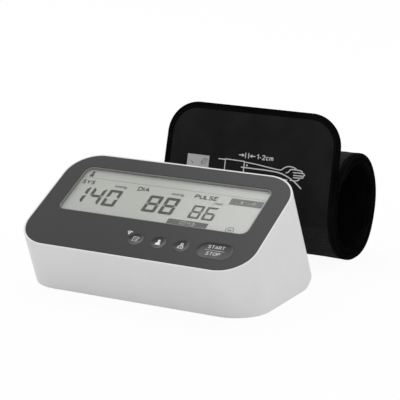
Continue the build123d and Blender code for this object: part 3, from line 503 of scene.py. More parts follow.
def turned(name, profile, centre, axis, material, steps=64, sharp=35):
    """A turned piece: a profile of (radius, distance along the axis) round a centre line."""
    axis = Vector(axis).normalized()
    side = axis.orthogonal().normalized()
    other = axis.cross(side)
    points, faces, rings = [], [], []
    for radius, along in profile:
        rings.append(len(points))
        if radius == 0:
            points.append(centre + axis * along)
            continue
        for step in range(steps):
            turn = 2 * pi * step / steps
            points.append(centre + axis * along + side * radius * cos(turn) + other * radius * sin(turn))
    for index in range(len(rings) - 1):
        low, high = rings[index], rings[index + 1]
        flat_low, flat_high = profile[index][0] == 0, profile[index + 1][0] == 0
        for i in range(steps):
            j = (i + 1) % steps
            corners = [low] if flat_low else [low + i, low + j]
            corners += [high] if flat_high else [high + j, high + i]
            if len(corners) > 2:
                faces.append(tuple(corners))
    if profile[0][0] and profile[-1][0]:
        low, high = rings[-1], rings[0]
        faces += [(low + i, low + (i + 1) % steps, high + (i + 1) % steps, high + i) for i in range(steps)]
    return new_object(name, points, faces, material, sharp)


# ================================================================ flat shapes for marks
def box_shape(left, low, right, high):
    """A rectangle."""
    return [(left, low), (right, low), (right, high), (left, high)], [(0, 1, 2, 3)]


def outline_shape(points):
    """One face inside an outline."""
    return list(points), [tuple(range(len(points)))]


def circle(x, y, radius, steps):
    """Points round a circle."""
    turns = [2 * pi * step / steps for step in range(steps)]
    return [(x + radius * cos(turn), y + radius * sin(turn)) for turn in turns]


def disc_shape(x, y, radius, steps=28):
    """A filled circle."""
    return outline_shape(circle(x, y, radius, steps))


def beside(points, distance, closed):
    """The points of a line moved to its left, with mitred corners."""
    count, moved = len(points), []
    for i, (x, y) in enumerate(points):
        before = points[i - 1] if i or closed else None
        after = points[(i + 1) % count] if i < count - 1 or closed else None
        ways = []
        for first, last in ((before, (x, y)), ((x, y), after)):
            if first and last:
                dx, dy = last[0] - first[0], last[1] - first[1]
                size = hypot(dx, dy)
                ways.append((-dy / size, dx / size))
        nx, ny = sum(way[0] for way in ways), sum(way[1] for way in ways)
        size = hypot(nx, ny)
        nx, ny = nx / size, ny / size
        reach = distance / max(0.5, nx * ways[0][0] + ny * ways[0][1])
        moved.append((x + nx * reach, y + ny * reach))
    return moved


def line_shape(points, width, closed=False):
    """A line drawn with a pen of a width."""
    left, right = beside(points, width / 2, closed), beside(points, -width / 2, closed)
    count = len(points)
    spans = range(count) if closed else range(count - 1)
    faces = [(i, (i + 1) % count, count + (i + 1) % count, count + i) for i in spans]
    return left + right, faces


def ring_shape(x, y, radius, width, steps=28):
    """A circle drawn with a pen."""
    return line_shape(circle(x, y, radius, steps), width, True)


def flowing(points, spacing):
    """A smooth line through points, divided at a spacing."""
    ends = [points[0], *points, points[-1]]
    line = []
    for a, b, c, d in zip(ends, ends[1:], ends[2:], ends[3:]):
        steps = max(1, round(hypot(c[0] - b[0], c[1] - b[1]) / spacing))
        for step in range(steps):
            t = step / steps
            pairs = []
            for axis in (0, 1):
                slope_b, slope_c = (c[axis] - a[axis]) / 2, (d[axis] - b[axis]) / 2
                rise = 3 * (c[axis] - b[axis]) - 2 * slope_b - slope_c
                bend = 2 * (b[axis] - c[axis]) + slope_b + slope_c
                pairs.append(b[axis] + slope_b * t + rise * t * t + bend * t**3)
            line.append(tuple(pairs))
    return line + [points[-1]]


# Each letter's width and strokes, for a height of 1. A tuple of points flows, a list has corners.
BOWL = ((0.3, 1), (0.52, 0.93), (0.59, 0.75), (0.52, 0.56), (0.3, 0.48))
LETTERS = {
    "A": (0.7, [[(0, 0), (0.35, 1), (0.7, 0)], [(0.13, 0.34), (0.57, 0.34)]]),
    "D": (0.64, [[(0.28, 0), (0, 0), (0, 1), (0.28, 1)],
                 ((0.28, 1), (0.5, 0.92), (0.63, 0.7), (0.63, 0.3), (0.5, 0.08), (0.28, 0))]),
    "E": (0.55, [[(0.55, 1), (0, 1), (0, 0), (0.55, 0)], [(0, 0.52), (0.5, 0.52)]]),
    "H": (0.62, [[(0, 0), (0, 1)], [(0.62, 0), (0.62, 1)], [(0, 0.52), (0.62, 0.52)]]),
    "I": (0.0, [[(0, 0), (0, 1)]]),
    "L": (0.5, [[(0, 1), (0, 0), (0.5, 0)]]),
    "O": (0.7, [((0.35, 1), (0.12, 0.9), (0, 0.5), (0.12, 0.1), (0.35, 0), (0.58, 0.1),
                 (0.7, 0.5), (0.58, 0.9), (0.35, 1))]),
    "P": (0.59, [[(0, 0), (0, 1), (0.3, 1)], BOWL, [(0.3, 0.48), (0, 0.48)]]),
    "R": (0.62, [[(0, 0), (0, 1), (0.3, 1)], BOWL, [(0.3, 0.48), (0, 0.48)], [(0.32, 0.48), (0.62, 0)]]),
    "S": (0.6, [((0.57, 0.84), (0.45, 0.97), (0.28, 1), (0.08, 0.92), (0.03, 0.74), (0.16, 0.58),
                 (0.43, 0.46), (0.58, 0.28), (0.53, 0.08), (0.31, 0), (0.12, 0.03), (0, 0.17))]),
    "T": (0.66, [[(0, 1), (0.66, 1)], [(0.33, 1), (0.33, 0)]]),
    "U": (0.62, [((0, 1), (0, 0.6), (0, 0.3), (0.09, 0.07), (0.31, 0), (0.53, 0.07), (0.62, 0.3),
                  (0.62, 0.6), (0.62, 1))]),
    "Y": (0.68, [[(0, 1), (0.34, 0.48), (0.68, 1)], [(0.34, 0.5), (0.34, 0)]]),
    "c": (0.44, [((0.43, 0.56), (0.33, 0.67), (0.2, 0.69), (0.06, 0.59), (0, 0.35), (0.06, 0.1),
                  (0.2, 0), (0.34, 0.03), (0.44, 0.14))]),
    "g": (0.44, [((0.44, 0.4), (0.36, 0.64), (0.2, 0.69), (0.05, 0.58), (0, 0.35), (0.06, 0.11),
                  (0.2, 0.02), (0.36, 0.08), (0.44, 0.3)),
                 [(0.44, 0.68), (0.44, -0.12), (0.34, -0.28), (0.1, -0.28)]]),
    "i": (0.0, [[(0, 0), (0, 0.68)], [(0, 0.86), (0, 1)]]),
    "m": (0.68, [[(0, 0), (0, 0.68)],
                 ((0, 0.45), (0.08, 0.63), (0.2, 0.69), (0.31, 0.6), (0.34, 0.4), (0.34, 0)),
                 ((0.34, 0.45), (0.42, 0.63), (0.54, 0.69), (0.65, 0.6), (0.68, 0.4), (0.68, 0))]),
    "n": (0.4, [[(0, 0), (0, 0.68)],
                ((0, 0.45), (0.08, 0.63), (0.22, 0.69), (0.36, 0.6), (0.4, 0.4), (0.4, 0))]),
    "/": (0.34, [[(0, -0.08), (0.34, 1.05)]]),
    "-": (0.3, [[(0, 0.4), (0.3, 0.4)]]),
    "1": (0.26, [[(0, 0.76), (0.26, 1), (0.26, 0)]]),
    "2": (0.56, [((0.02, 0.78), (0.1, 0.94), (0.28, 1), (0.47, 0.94), (0.54, 0.76), (0.46, 0.56),
                  (0.25, 0.3), (0, 0)), [(0, 0), (0.56, 0)]]),
}
LETTER_GAP = 0.26


def written(text, left, low, width, height, pen):
    """Plain lettering drawn with a pen and fitted to a width and a height."""
    whole = sum(LETTERS[letter][0] + LETTER_GAP for letter in text) - LETTER_GAP
    stretch, at, shapes = (width - pen) / whole, left + pen / 2, []
    for letter in text:
        advance, strokes = LETTERS[letter]
        for stroke in strokes:
            line = [(at + x * stretch, low + pen / 2 + y * (height - pen)) for x, y in stroke]
            shapes.append(line_shape(flowing(line, pen) if isinstance(stroke, tuple) else line, pen))
        at += (advance + LETTER_GAP) * stretch
    return shapes


def marks(name, shapes, where, material, thickness=0.04 * MM, scale=MM):
    """A print: flat shapes laid on a surface, with a thin edge. where(x, y, height) gives the spot."""
    points, faces = [], []
    for flat, flat_faces in shapes:
        start, count = len(points), len(flat)
        points += [where(x * scale, y * scale, thickness) for x, y in flat]
        points += [where(x * scale, y * scale, 0) for x, y in flat]
        edges = {}
        for face in flat_faces:
            faces.append(tuple(start + i for i in face))
            faces.append(tuple(start + count + i for i in reversed(face)))
            for i, j in zip(face, face[1:] + face[:1]):
                edges[frozenset((i, j))] = edges.get(frozenset((i, j)), []) + [(i, j)]
        for found in edges.values():
            if len(found) == 1:
                i, j = found[0]
                faces.append((start + j, start + i, start + count + i, start + count + j))
    return new_object(name, points, faces, material)


# ================================================================ the monitor's shell
# Where the straight sides have points: close together near the back, where the heel bends them
EVEN_SIDE = (0.02, 0.5, 0.98)
NEAR_BACK = (0.02, 0.05, 0.08, 0.11, 0.14, 0.17, 0.2, 0.23, 0.26, 0.3, 0.6, 0.98)
SHELL_SIDES = (EVEN_SIDE, NEAR_BACK, EVEN_SIDE, [1 - share for share in reversed(NEAR_BACK)])
UNDER_STEPS, INNER_STEPS = 13, 10
WALL_ROWS = (0.01, 0.1, 0.25, 0.4, 0.6, 0.8, 0.99)
FOOT_W, LIP_W, MOUTH_EDGE = 0.6 * MM, 0.6 * MM, 0.15 * MM
MOUTH_PULL = 0.15     # how much the heel's underside narrows towards the base cover
DRILL_L, DRILL_OUT = 8 * MM, 4 * MM


def base_ring(inset):
    """The outline of the shell's base, drawn in by an inset."""
    radii = [radius - inset for radius in (BASE_BACK_R, BASE_BACK_R, BASE_FRONT_R, BASE_FRONT_R)]
    size = (BODY_W - 2 * inset, BASE_BACK - BASE_FRONT - 2 * inset)
    flat = rounded_ring(*size, radii, (0, (BASE_FRONT + BASE_BACK) / 2), sides=SHELL_SIDES)
    return [Vector((x, y, BASE_Z)) for x, y in flat]


def face_ring(inset, depth=0.0, shift=0.0):
    """The outline of the sloping face, drawn in, sunk and shifted up the slope."""
    size = (BODY_W - 2 * inset, FACE_L - 2 * inset)
    flat = rounded_ring(*size, [FACE_R - inset] * 4, sides=SHELL_SIDES)
    return [on_face(x, y + shift, depth) for x, y in flat]


# The heel: seen from the side, an arc that touches the base and the back wall
BACK_TOP = FACE_CENTRE + FACE_UP * FACE_L / 2
BACK_ANGLE = atan2(BACK_TOP.z - BASE_Z, BASE_BACK - BACK_TOP.y)
HEEL_Y, HEEL_Z = BASE_BACK - HEEL_R / tan(BACK_ANGLE / 2), BASE_Z + HEEL_R


def below_heel(point, radius):
    """Whether a point lies outside the heel's arc or, where the heel is flat, under it."""
    y, z = point.y - HEEL_Y, point.z - HEEL_Z
    if y > 0:
        return y * cos(BACK_ANGLE) - z * sin(BACK_ANGLE) > 0 and hypot(y, z) > radius
    return point.y > COVER_BACK and z < -radius - 0.001 * MM


def reach_heel(top, foot, radius):
    """Where the line down the wall from top to foot meets the heel, or the foot if it doesn't."""
    if not below_heel(foot, radius):
        return foot
    low, high = 0.0, 1.0
    for _ in range(30):
        middle = (low + high) / 2
        low, high = (low, middle) if below_heel(top.lerp(foot, middle), radius) else (middle, high)
    return top.lerp(foot, low)


def along_heel(start, end, radius, share):
    """A point on the way under the shell from the wall to the edge of the base cover."""
    point = start.lerp(end, share)
    if start.y > COVER_BACK:
        flat = HEEL_Y - COVER_BACK
        turn = pi / 2 + atan2(start.z - HEEL_Z, start.y - HEEL_Y)
        whole = flat + radius * turn if start.y > HEEL_Y else start.y - COVER_BACK
        left = whole * (1 - share)
        turn = max(0, left - flat) / radius
        point.y = HEEL_Y + radius * sin(turn) if left > flat else COVER_BACK + left
        point.z = HEEL_Z - radius * cos(turn)
    return point


def make_housing():
    """The white shell: a leaning wedge with a rounded heel, foot and rim, and a pocket for the panel."""
    base, top, top_in = base_ring(0), face_ring(0), face_ring(LIP_W)
    inner_base, inner_top = base_ring(WALL), face_ring(WALL, LEDGE_DEPTH, WALL_LEAN * LEDGE_DEPTH)
    inner_back = BASE_BACK - WALL
    mouth = []
    for point in inner_base:
        beyond = max(0, point.y - COVER_BACK)
        pull = 1 - MOUTH_PULL * beyond / (inner_back - COVER_BACK)
        mouth.append(Vector((point.x * pull, min(point.y, COVER_BACK), BASE_Z)))
    outside, inside = [], []
    for i in range(len(base)):
        corner = reach_heel(top[i], base[i], HEEL_R)
        way = (top[i] - corner).normalized()
        foot_share = FOOT_W / (corner - mouth[i]).length
        steps = range(UNDER_STEPS, -1, -1)
        under = [foot_share + (1 - foot_share) * step / UNDER_STEPS for step in steps]
        column = [along_heel(corner, mouth[i], HEEL_R, share) for share in under]
        low, high = corner + way * FOOT_W, top[i] - way * LIP_W
        column += round_over(column.pop(), corner, low)
        column += [low.lerp(high, share) for share in WALL_ROWS]
        outside.append(column + round_over(high, top[i], top_in[i]))
        corner = reach_heel(inner_top[i], inner_base[i], HEEL_R - WALL)
        shares = [step / INNER_STEPS for step in range(INNER_STEPS + 1)]
        column = [along_heel(corner, mouth[i], HEEL_R - WALL, share) for share in shares]
        inside.append([inner_top[i], inner_top[i].lerp(corner, 0.5)] + column)
    rings = [list(ring) for ring in zip(*outside)]
    rings += [face_ring(RIM_W - MOUTH_EDGE), face_ring(RIM_W, MOUTH_EDGE), face_ring(RIM_W, POCKET_DEPTH)]
    rings += [face_ring(RIM_W + LEDGE_W, depth) for depth in (POCKET_DEPTH, LEDGE_DEPTH)]
    rings += [list(ring) for ring in zip(*inside)]
    housing = new_object("housing_shell", *rings_to_mesh(rings, True), white_plastic)
    drills = []
    for y, z, radius in SOCKETS:
        profile = [(0, 0), (radius, 0), (radius, DRILL_L), (0, DRILL_L)]
        start = Vector((-BODY_W / 2 - DRILL_OUT, y, z))
        drills.append(turned("drill", profile, start, (1, 0, 0), white_plastic, 48))
    combine(housing, "DIFFERENCE", drills)
    housing.data.shade_smooth()
    housing.data.set_sharp_from_angle(angle=radians(35))
    return fit_out(housing, "monitor", "white_plastic", "housing")


def make_bosses():
    """Screw bosses inside the shell, each tied to the side wall by a rib."""
    profile = [(0, BOSS_TOP), (BOSS_R - BOSS_CHAMFER, BOSS_TOP), (BOSS_R, BOSS_TOP - BOSS_CHAMFER)]
    profile += [(BOSS_R, COVER_TOP), (BOSS_BORE, COVER_TOP), (BOSS_BORE, SCREW_END), (0, SCREW_END)]
    for index, (x, y) in enumerate(BOSSES):
        way = 1 if x > 0 else -1
        boss = turned("boss", profile, Vector((x, y, 0)), (0, 0, 1), white_plastic, 40)
        start, end = x + way * RIB_START, way * (BODY_W / 2 - WALL + RIB_BITE)
        corners = [(start, y - RIB_HALF_W), (start, y + RIB_HALF_W)]
        corners += [(end, y + RIB_HALF_W), (end, y - RIB_HALF_W)]
        rings = [[Vector((a, b, z)) for a, b in corners] for z in (COVER_TOP, BOSS_TOP)]
        web = new_object("rib", *rings_to_mesh(rings), white_plastic)
        combine(boss, "UNION", [web])
        boss.name = f"screw_boss_{index + 1}"
        fit_out(boss, "monitor", "white_plastic")


# ================================================================ buttons
def dish_depth(inside, half):
    """How deep a button's dish is at a distance inside its edge: a short step, then a hollow."""
    inside -= DISH_EDGE
    if inside < DISH_STEP_W:
        return DISH_STEP * max(0, inside / DISH_STEP_W)
    reach = 1 - (inside - DISH_STEP_W) / (half - DISH_EDGE - DISH_STEP_W)
    return DISH_STEP + (DISH_DEPTH - DISH_STEP) * (1 - reach * reach)


def small_dish(x, y):
    """How deep a round key's dish is."""
    return dish_depth(SMALL_BUTTON_R - min(SMALL_BUTTON_R, hypot(x, y)), SMALL_BUTTON_R)


def start_dish(x, y):
    """How deep the wide key's dish is: hollowed mostly along its length, inside a short step."""
    over_x = max(0, abs(x) - (START_W / 2 - START_R))
    over_y = max(0, abs(y) - (START_L / 2 - START_R))
    inside = START_R - hypot(over_x, over_y) - DISH_EDGE
    reach = 1 - max(0, inside - DISH_STEP_W) / (START_L / 2 - DISH_EDGE - DISH_STEP_W)
    along = 2 * x / START_W
    hollow = 0.5 * (1 - along * along) + 0.5 * (1 - reach * reach)
    depth = DISH_STEP + (DISH_DEPTH - DISH_STEP) * hollow
    return depth * min(1, max(0, inside / DISH_STEP_W))


def dish_insides(half):
    """Distances inside a button's edge at which its top has a ring, from the edge to the middle."""
    corner = DISH_EDGE + DISH_STEP_W
    fine = [DISH_EDGE - 0.05 * MM, DISH_EDGE + 0.05 * MM, corner - 0.05 * MM, corner + 0.1 * MM]
    return fine + [corner + (half - corner) * share for share in (0.1, 0.22, 0.36, 0.52, 0.7, 0.88)]


def make_small_button(name, x):
    """A round key cap with a dished top, its flange and its stem."""
    radius = SMALL_BUTTON_R
    spots = [0] + [radius - inside for inside in reversed(dish_insides(radius))]
    profile = [(spot, -small_dish(spot, 0)) for spot in spots]
    profile += [(radius - BUTTON_LIP, 0), (radius - BUTTON_LIP * 0.3, -BUTTON_LIP * 0.3)]
    profile += [(radius, -BUTTON_LIP), (radius, -FLANGE_TOP)]
    flange = radius + FLANGE_EXTRA
    profile += [(flange, -FLANGE_TOP), (flange, -FLANGE_BOTTOM), (STEM_R, -FLANGE_BOTTOM)]
    profile += [(STEM_R, -STEM_END), (0, -STEM_END)]
    cap = turned(f"{name}_cap", profile, on_face(x, BUTTON_Y), FACE_OUT, button_plastic)
    fit_out(cap, name, "dark_plastic", name)


def make_start_button():
    """The wide key cap, dished to its rounded outline, and its stem."""

    def ring(inside, depth=None):
        """The cap's outline drawn in, at a depth or following the dish."""
        size = (START_W - 2 * inside, START_L - 2 * inside)
        flat = rounded_ring(*size, [START_R - inside] * 4, (0, 0), 12)
        depths = [start_dish(x, y) if depth is None else depth for x, y in flat]
        return [on_face(START_X + x, BUTTON_Y + y, deep) for (x, y), deep in zip(flat, depths)]

    insides = reversed(dish_insides(START_L / 2))
    rings = [ring(inside) for inside in insides if inside < START_R - 0.2 * MM]
    rings += [ring(BUTTON_LIP, 0), ring(BUTTON_LIP * 0.3, BUTTON_LIP * 0.3)]
    rings += [ring(0, BUTTON_LIP), ring(0, FLANGE_TOP), ring(-FLANGE_EXTRA, FLANGE_TOP)]
    rings += [ring(-FLANGE_EXTRA, FLANGE_BOTTOM), ring(START_R / 2, FLANGE_BOTTOM)]
    cap = new_object("start_button_cap", *rings_to_mesh(rings), button_plastic)
    fit_out(cap, "start_button", "dark_plastic", "start_button")
    top = -FLANGE_BOTTOM + 0.2 * MM
    profile = [(0, -STEM_END), (STEM_R, -STEM_END), (STEM_R, top), (0, top)]
    stem = turned("start_button_stem", profile, on_face(START_X, BUTTON_Y), FACE_OUT, button_plastic, 40)
    fit_out(stem, "start_button", "dark_plastic")


def on_button(x, dish, lift=0.0):
    """Where a print lies on a button's dished top."""
    return lambda a, b, height: on_face(x + a, BUTTON_Y + b, dish(a, b) - PRINT_CLEAR - lift - height)


PRINT_CLEAR = 0.03 * MM
PRINT_X, PRINT_Y = -0.7, 1.0     # the prints' middle on a button, in millimetres
SHEET = [(-2.2, -2.1), (1.5, -2.1), (1.5, 0.3), (1.5, 2.2), (-2.2, 2.2)]
SHOULDER = [(-1.9, -2.4), (-1.75, -0.7), (-1.1, 0.4), (-0.4, 0.75)]
PERSON = SHOULDER + [(-x, y) for x, y in reversed(SHOULDER)]


def placed(shapes, x, y):
    """Flat shapes moved by a distance."""
    return [([(a + x, b + y) for a, b in points], faces) for points, faces in shapes]


def make_button_prints():
    """A written sheet for the memory, one and two people for the users, and two words."""
    memory = [line_shape(SHEET, 0.42, True)]
    memory += [line_shape([(-1.5, y), (0.7, y)], 0.35) for y in (1.2, 0.1, -1.0)]
    memory += [line_shape([(0.3, -1.4), (2.6, 2.0)], 0.62)]
    one = [outline_shape(PERSON), disc_shape(0, 1.75, 1.05)]
    figure = written("1", -0.35, -1.9, 0.7, 2.0, 0.4)
    two = [line_shape(PERSON, 0.5, True), ring_shape(0, 1.75, 0.85, 0.5)]
    two += written("2", -0.6, -1.9, 1.2, 1.9, 0.35)
    words = written("START", -7.2, 2.9, 13.3, 3.4, 0.62) + written("STOP", -6.2, -3.9, 11.2, 3.8, 0.62)
    words += [line_shape([(-8.4, 1.35), (-3, 1.35), (3, 1.35), (7, 1.35)], 0.4)]
    prints = (
        ("memory_print", "memory_button", memory, soft_ink, 0),
        ("user_one_print", "user_one_button", one, white_ink, 0),
        ("user_two_print", "user_two_button", two, white_ink, 0),
        ("user_one_figure", "user_one_button", figure, button_plastic, 0.05 * MM),
        ("start_print", "start_button", words, soft_ink, 0.1 * MM),
    )
    for name, button, shapes, ink, lift in prints:
        if button in SMALL_BUTTONS:
            where = on_button(SMALL_BUTTONS[button], small_dish, lift)
            shapes = placed(shapes, PRINT_X, PRINT_Y)
        else:
            where = on_button(START_X, start_dish, lift)
        fit_out(marks(name, shapes, where, ink), button, "dark_plastic")


SIGNAL_X, SIGNAL_Y = -7.8, -28.9


def make_signal_print():
    """Wireless arcs printed on the panel beside the first button."""
    shapes = [disc_shape(SIGNAL_X, SIGNAL_Y + 0.3, 0.65)]
    turns = [radians(50 + 10 * step) for step in range(9)]
    for radius in (1.7, 3.1):
        arc = [(SIGNAL_X + radius * cos(turn), SIGNAL_Y + radius * sin(turn)) for turn in turns]
        shapes.append(line_shape(arc, 0.7))

    def where(x, y, height):
        return on_face(x, y, -0.01 * MM - height)

    fit_out(marks("signal_print", shapes, where, white_ink), "monitor", "dark_plastic")


# ================================================================ the display's marks
def digit_shapes(figure, left, low, width, height, pen):
    """The lit bars of a seven-bar figure, mitred at their ends."""
    gap, nick, half = 0.05 * pen, 0.3 * pen, pen / 2
    right, high, middle = left + width, low + height, low + height / 2

    def upright(outer, inner, top):
        """A bar down one side, in the upper or lower half."""
        end, way = (high, 1) if top else (low, -1)
        near = middle + way * 0.14 * pen
        bar = [(outer, near), (outer, end - way * (gap + nick))]
        bar += [(outer + (inner - outer) * 0.3, end - way * gap * 2)]
        return bar + [(inner, end - way * (pen + gap)), (inner, near + way * half)]

    def level(edge, inner):
        """The top or bottom bar."""
        blunt = edge + (inner - edge) * 0.3
        bar = [(left + gap + nick, edge), (right - gap - nick, edge), (right - gap * 2, blunt)]
        return bar + [(right - pen - gap, inner), (left + pen + gap, inner), (left + gap * 2, blunt)]

    def middle_bar():
        """The bar across the middle."""
        tip = half * 0.6
        upper = [(left + tip, middle), (left + pen, middle + half), (right - pen, middle + half)]
        return upper + [(right - tip, middle), (right - pen, middle - half), (left + pen, middle - half)]

    bars = {
        "a": level(high, high - pen),
        "d": level(low, low + pen),
        "b": upright(right, right - pen, True),
        "c": upright(right, right - pen, False),
        "e": upright(left, left + pen, False),
        "f": upright(left, left + pen, True),
        "g": middle_bar(),
    }
    return [outline_shape(bars[bar]) for bar in LIT_BARS[figure]]


MARK_LIFT, BAND_MARK_LIFT = 0.06 * MM, 0.12 * MM
LIT_BARS = {"0": "abcdef", "1": "bc", "3": "abcdg", "4": "bcfg", "6": "acdefg", "8": "abcdefg"}
# Figures with their left edges, then the row's low edge, width, height and pen, in millimetres
PRESSURES = ((("1", -76.0), ("4", -62.1), ("0", -48.2), ("8", -13.5), ("8", 0.6)), (-1.0, 11.3, 18.4, 2.75))
PULSE = ((("8", 25.1), ("6", 36.3)), (-1.2, 9.1, 14.4, 1.95))
CLOCK = ((("1", 20.0), ("0", 23.5), ("4", 28.1), ("3", 31.7)), (-8.9, 2.7, 3.6, 0.55))
# Words with their left and low edges, width, height and pen
NAMES = (("SYS", -75.9, 20.2, 11.1, 4.6, 0.85), ("DIA", -27.4, 20.2, 10.0, 4.6, 0.85),
         ("PULSE", 20.8, 20.2, 18.8, 4.6, 0.85))
UNITS = (("mmHg", -46.9, 20.3, 10.2, 3.1, 0.6), ("mmHg", 1.7, 20.3, 10.2, 3.1, 0.6),
         ("/min", 38.6, 16.2, 7, 2.9, 0.6))
USER_SIGN = [(-73.8, 28.7), (-73.5, 31.2), (-72.7, 32.4), (-71.3, 32.4), (-70.5, 31.2), (-70.2, 28.7)]
BELL_SIGN = [(58.0, 21.3), (60.6, 21.3), (60.1, 22.7), (59.3, 23.5), (58.5, 22.7)]


def figure_row(figures, size):
    """The bars of a row of figures of one size."""
    return [bar for figure, left in figures for bar in digit_shapes(figure, left, *size)]


def word_row(words):
    """The strokes of several words."""
    return [stroke for word in words for stroke in written(*word)]


def make_display_marks():
    """What the display shows: two pressures and a pulse, their names and units, and small signs."""
    digits = figure_row(*PRESSURES) + [outline_shape(USER_SIGN), disc_shape(-72, 33.6, 1.15)]
    units = word_row(UNITS)
    units += [ring_shape(63.0, -7.7, 3.0, 0.55), line_shape([(61.2, -6.2), (64.6, -9.2)], 0.5)]
    units += [line_shape([(61.7, -9.0), (63.3, -7.2), (64.8, -8.1)], 0.5)]
    light = [outline_shape(BELL_SIGN)]
    light += [box_shape(64.6 + step * 2.0, 21.3, 65.8 + step * 2.0, 21.9 + step) for step in range(3)]
    light += figure_row(*CLOCK) + [disc_shape(27.1, y, 0.35, 10) for y in (-6.4, -7.9)]

    def floating(lift):
        """Where a mark lies above the display's glass."""
        return lambda x, y, height: on_face(x, y, LCD_DEPTH - lift - height)

    sign_band, clock_band = box_shape(49.8, 18.75, 75.9, 25.7), box_shape(12.2, -11.6, 44.7, -4.3)
    sets = (
        ("display_digits", digits, MARK_LIFT, dark_mark),
        ("display_pulse_digits", figure_row(*PULSE), MARK_LIFT, small_mark),
        ("display_words", word_row(NAMES), MARK_LIFT, word_mark),
        ("display_sign_band", [sign_band], MARK_LIFT, band_mark),
        ("display_clock_band", [clock_band], MARK_LIFT, low_band_mark),
        ("display_units", units, MARK_LIFT, unit_mark),
        ("display_line", [box_shape(-77, 27.5, 77, 27.8)], MARK_LIFT, pale_mark),
        ("display_band_marks", light, BAND_MARK_LIFT, band_light_mark),
    )
    for name, group, lift, material in sets:
        fit_out(marks(name, group, floating(lift), material), "monitor", "lcd")


# ================================================================ the rolled strip
def strip_arcs():
    """(start, start angle, radius, centre y, centre z) of each quarter of the roll."""
    arcs, reached, angle = [], 0.0, FOLD_ANGLE
    for index in range(8):
        radius = ROLL_R - index * ROLL_STEP
        y = ROLL_Y + (0, 0, 1, 1)[index % 4] * ROLL_STEP
        z = ROLL_Z - (0, 1, 1, 0)[index % 4] * ROLL_STEP
        arcs.append((reached, radians(angle), radius, y, z))
        end = min(INNER_END_ANGLE, 270 + 90 * index)
        reached += radius * radians(end - angle)
        angle = end
    return arcs, reached


ARCS, STRIP_END = strip_arcs()
# The outer skin hangs slack below the roll's back, and the flap is wider at its fold than at its top
SLACK, SLACK_U, SLACK_REACH = 2.6 * MM, ARCS[2][0] - 39 * MM, 18 * MM
FLARE, FLARE_U, FLARE_REACH = 2.2 * MM, -6 * MM, 45 * MM


def along(angle):
    """How far along the strip an angle of the roll is."""
    index = max(0, int((angle - 180) // 90))
    start, start_angle, radius = ARCS[index][:3]
    return start + radius * (radians(angle) - start_angle)


def on_strip(x, u, n):
    """Points at x across, u along the strip from the fold and n out from its middle."""
    x, u, n = (np.array(part, float) for part in np.broadcast_arrays(x, u, n))
    x = x - FLARE * (CUFF_RIGHT - x) / CUFF_W * np.exp(-((u - FLARE_U) / FLARE_REACH) ** 2)
    slack = SLACK * np.exp(-((u - SLACK_U) / SLACK_REACH) ** 2)
    n = n + slack * np.clip((n - CURLER_TOP) / (SKIN_LOW - CURLER_TOP), 0, 1)
    fold = radians(FOLD_ANGLE)
    y = ROLL_Y + (ROLL_R + n) * cos(fold) - u * sin(fold)
    z = ROLL_Z + (ROLL_R + n) * sin(fold) + u * cos(fold)
    for start, start_angle, radius, mid_y, mid_z in ARCS:
        turn = start_angle + (u - start) / radius
        y = np.where(u > start, mid_y + (radius + n) * np.cos(turn), y)
        z = np.where(u > start, mid_z + (radius + n) * np.sin(turn), z)
    return np.stack([x, y, np.maximum(z, 0)], -1)     # the roll lies flat on what it stands on


def rim_distance(x, u):
    """How far inside the strip's outline a point is."""
    middle, half = (STRIP_END - FLAP_L) / 2, (STRIP_END + FLAP_L) / 2
    radius = np.where(u < middle, FLAP_R, INNER_CORNER_R)
    over_x = np.abs(x - CUFF_MID_X) - (CUFF_W / 2 - radius)
    over_u = np.abs(u - middle) - (half - radius)
    outside = np.hypot(np.maximum(over_x, 0), np.maximum(over_u, 0))
    return radius - outside - np.minimum(np.maximum(over_x, over_u), 0)


def rumple(x, u, size, seed):
    """Smooth random heights from -1 to 1 with features of a size."""
    flat = zip(np.ravel(x) / size, np.ravel(u) / size)
    return np.array([noise.noise(Vector((a, b, seed))) for a, b in flat]).reshape(np.shape(x))


def ease(value, low, high):
    """0 below low, 1 above high, and a smooth rise between."""
    t = np.clip((value - low) / (high - low), 0, 1)
    return t * t * (3 - 2 * t)


SEAM_U = along(SEAM_ANGLE)
COVERED_U = along(FOLD_ANGLE + 360)
SPLIT_U = along(262)     # below the fold: lining and tape are split here into their flap and roll parts
SEAM_SLANT = 0.012


def seam_line(x):
    """Where the smooth cover ends, a little askew."""
    return SEAM_U + SEAM_SLANT * (x - CUFF_MID_X)


# Unevenness of the cloths: each layer's height and size in millimetres, and its seed
COVER_WAVES, COVER_TUCKS = ((0.28, 42, 3.7), (0.1, 15, 8.1)), ((0.1, 5, 1.3),)
LOOP_PILE, LOOP_WAVES = ((0.16, 1.7, 5.2), (0.14, 4.6, 2.9)), ((0.3, 34, 6.4),)
LINING_CREASES, LINING_WAVES, CREASE_STRETCH = ((0.22, 7, 4.4),), ((0.15, 22, 9.9),), 0.25
# How flat the pile lies under the next turn, and how much of its creases the lining keeps there
# and on the flap
PRESSED_PILE, PRESSED_LINING, FLAP_LINING = 0.85, 0.15, 0.4
PUFF, PUFF_REACH, PUFF_SINK, TUCK_REACH = 0.75 * MM, 2.2 * MM, 0.4 * MM, 6 * MM
HEM_H, HEM_START, HEM_END = 0.25 * MM, (-0.1 * MM, 0.5 * MM), (5.2 * MM, 6.4 * MM)
GROOVE_H, GROOVE_AT, GROOVE_W = 0.2 * MM, 6.6 * MM, 0.7 * MM


def uneven(x, u, layers):
    """The layers of a cloth's unevenness, added up."""
    return sum(height * MM * rumple(x, u, size * MM, seed) for height, size, seed in layers)


def fading(distance, reach):
    """1 at the tape, fading away from it over a reach."""
    return np.exp(-np.maximum(distance, 0) / reach)


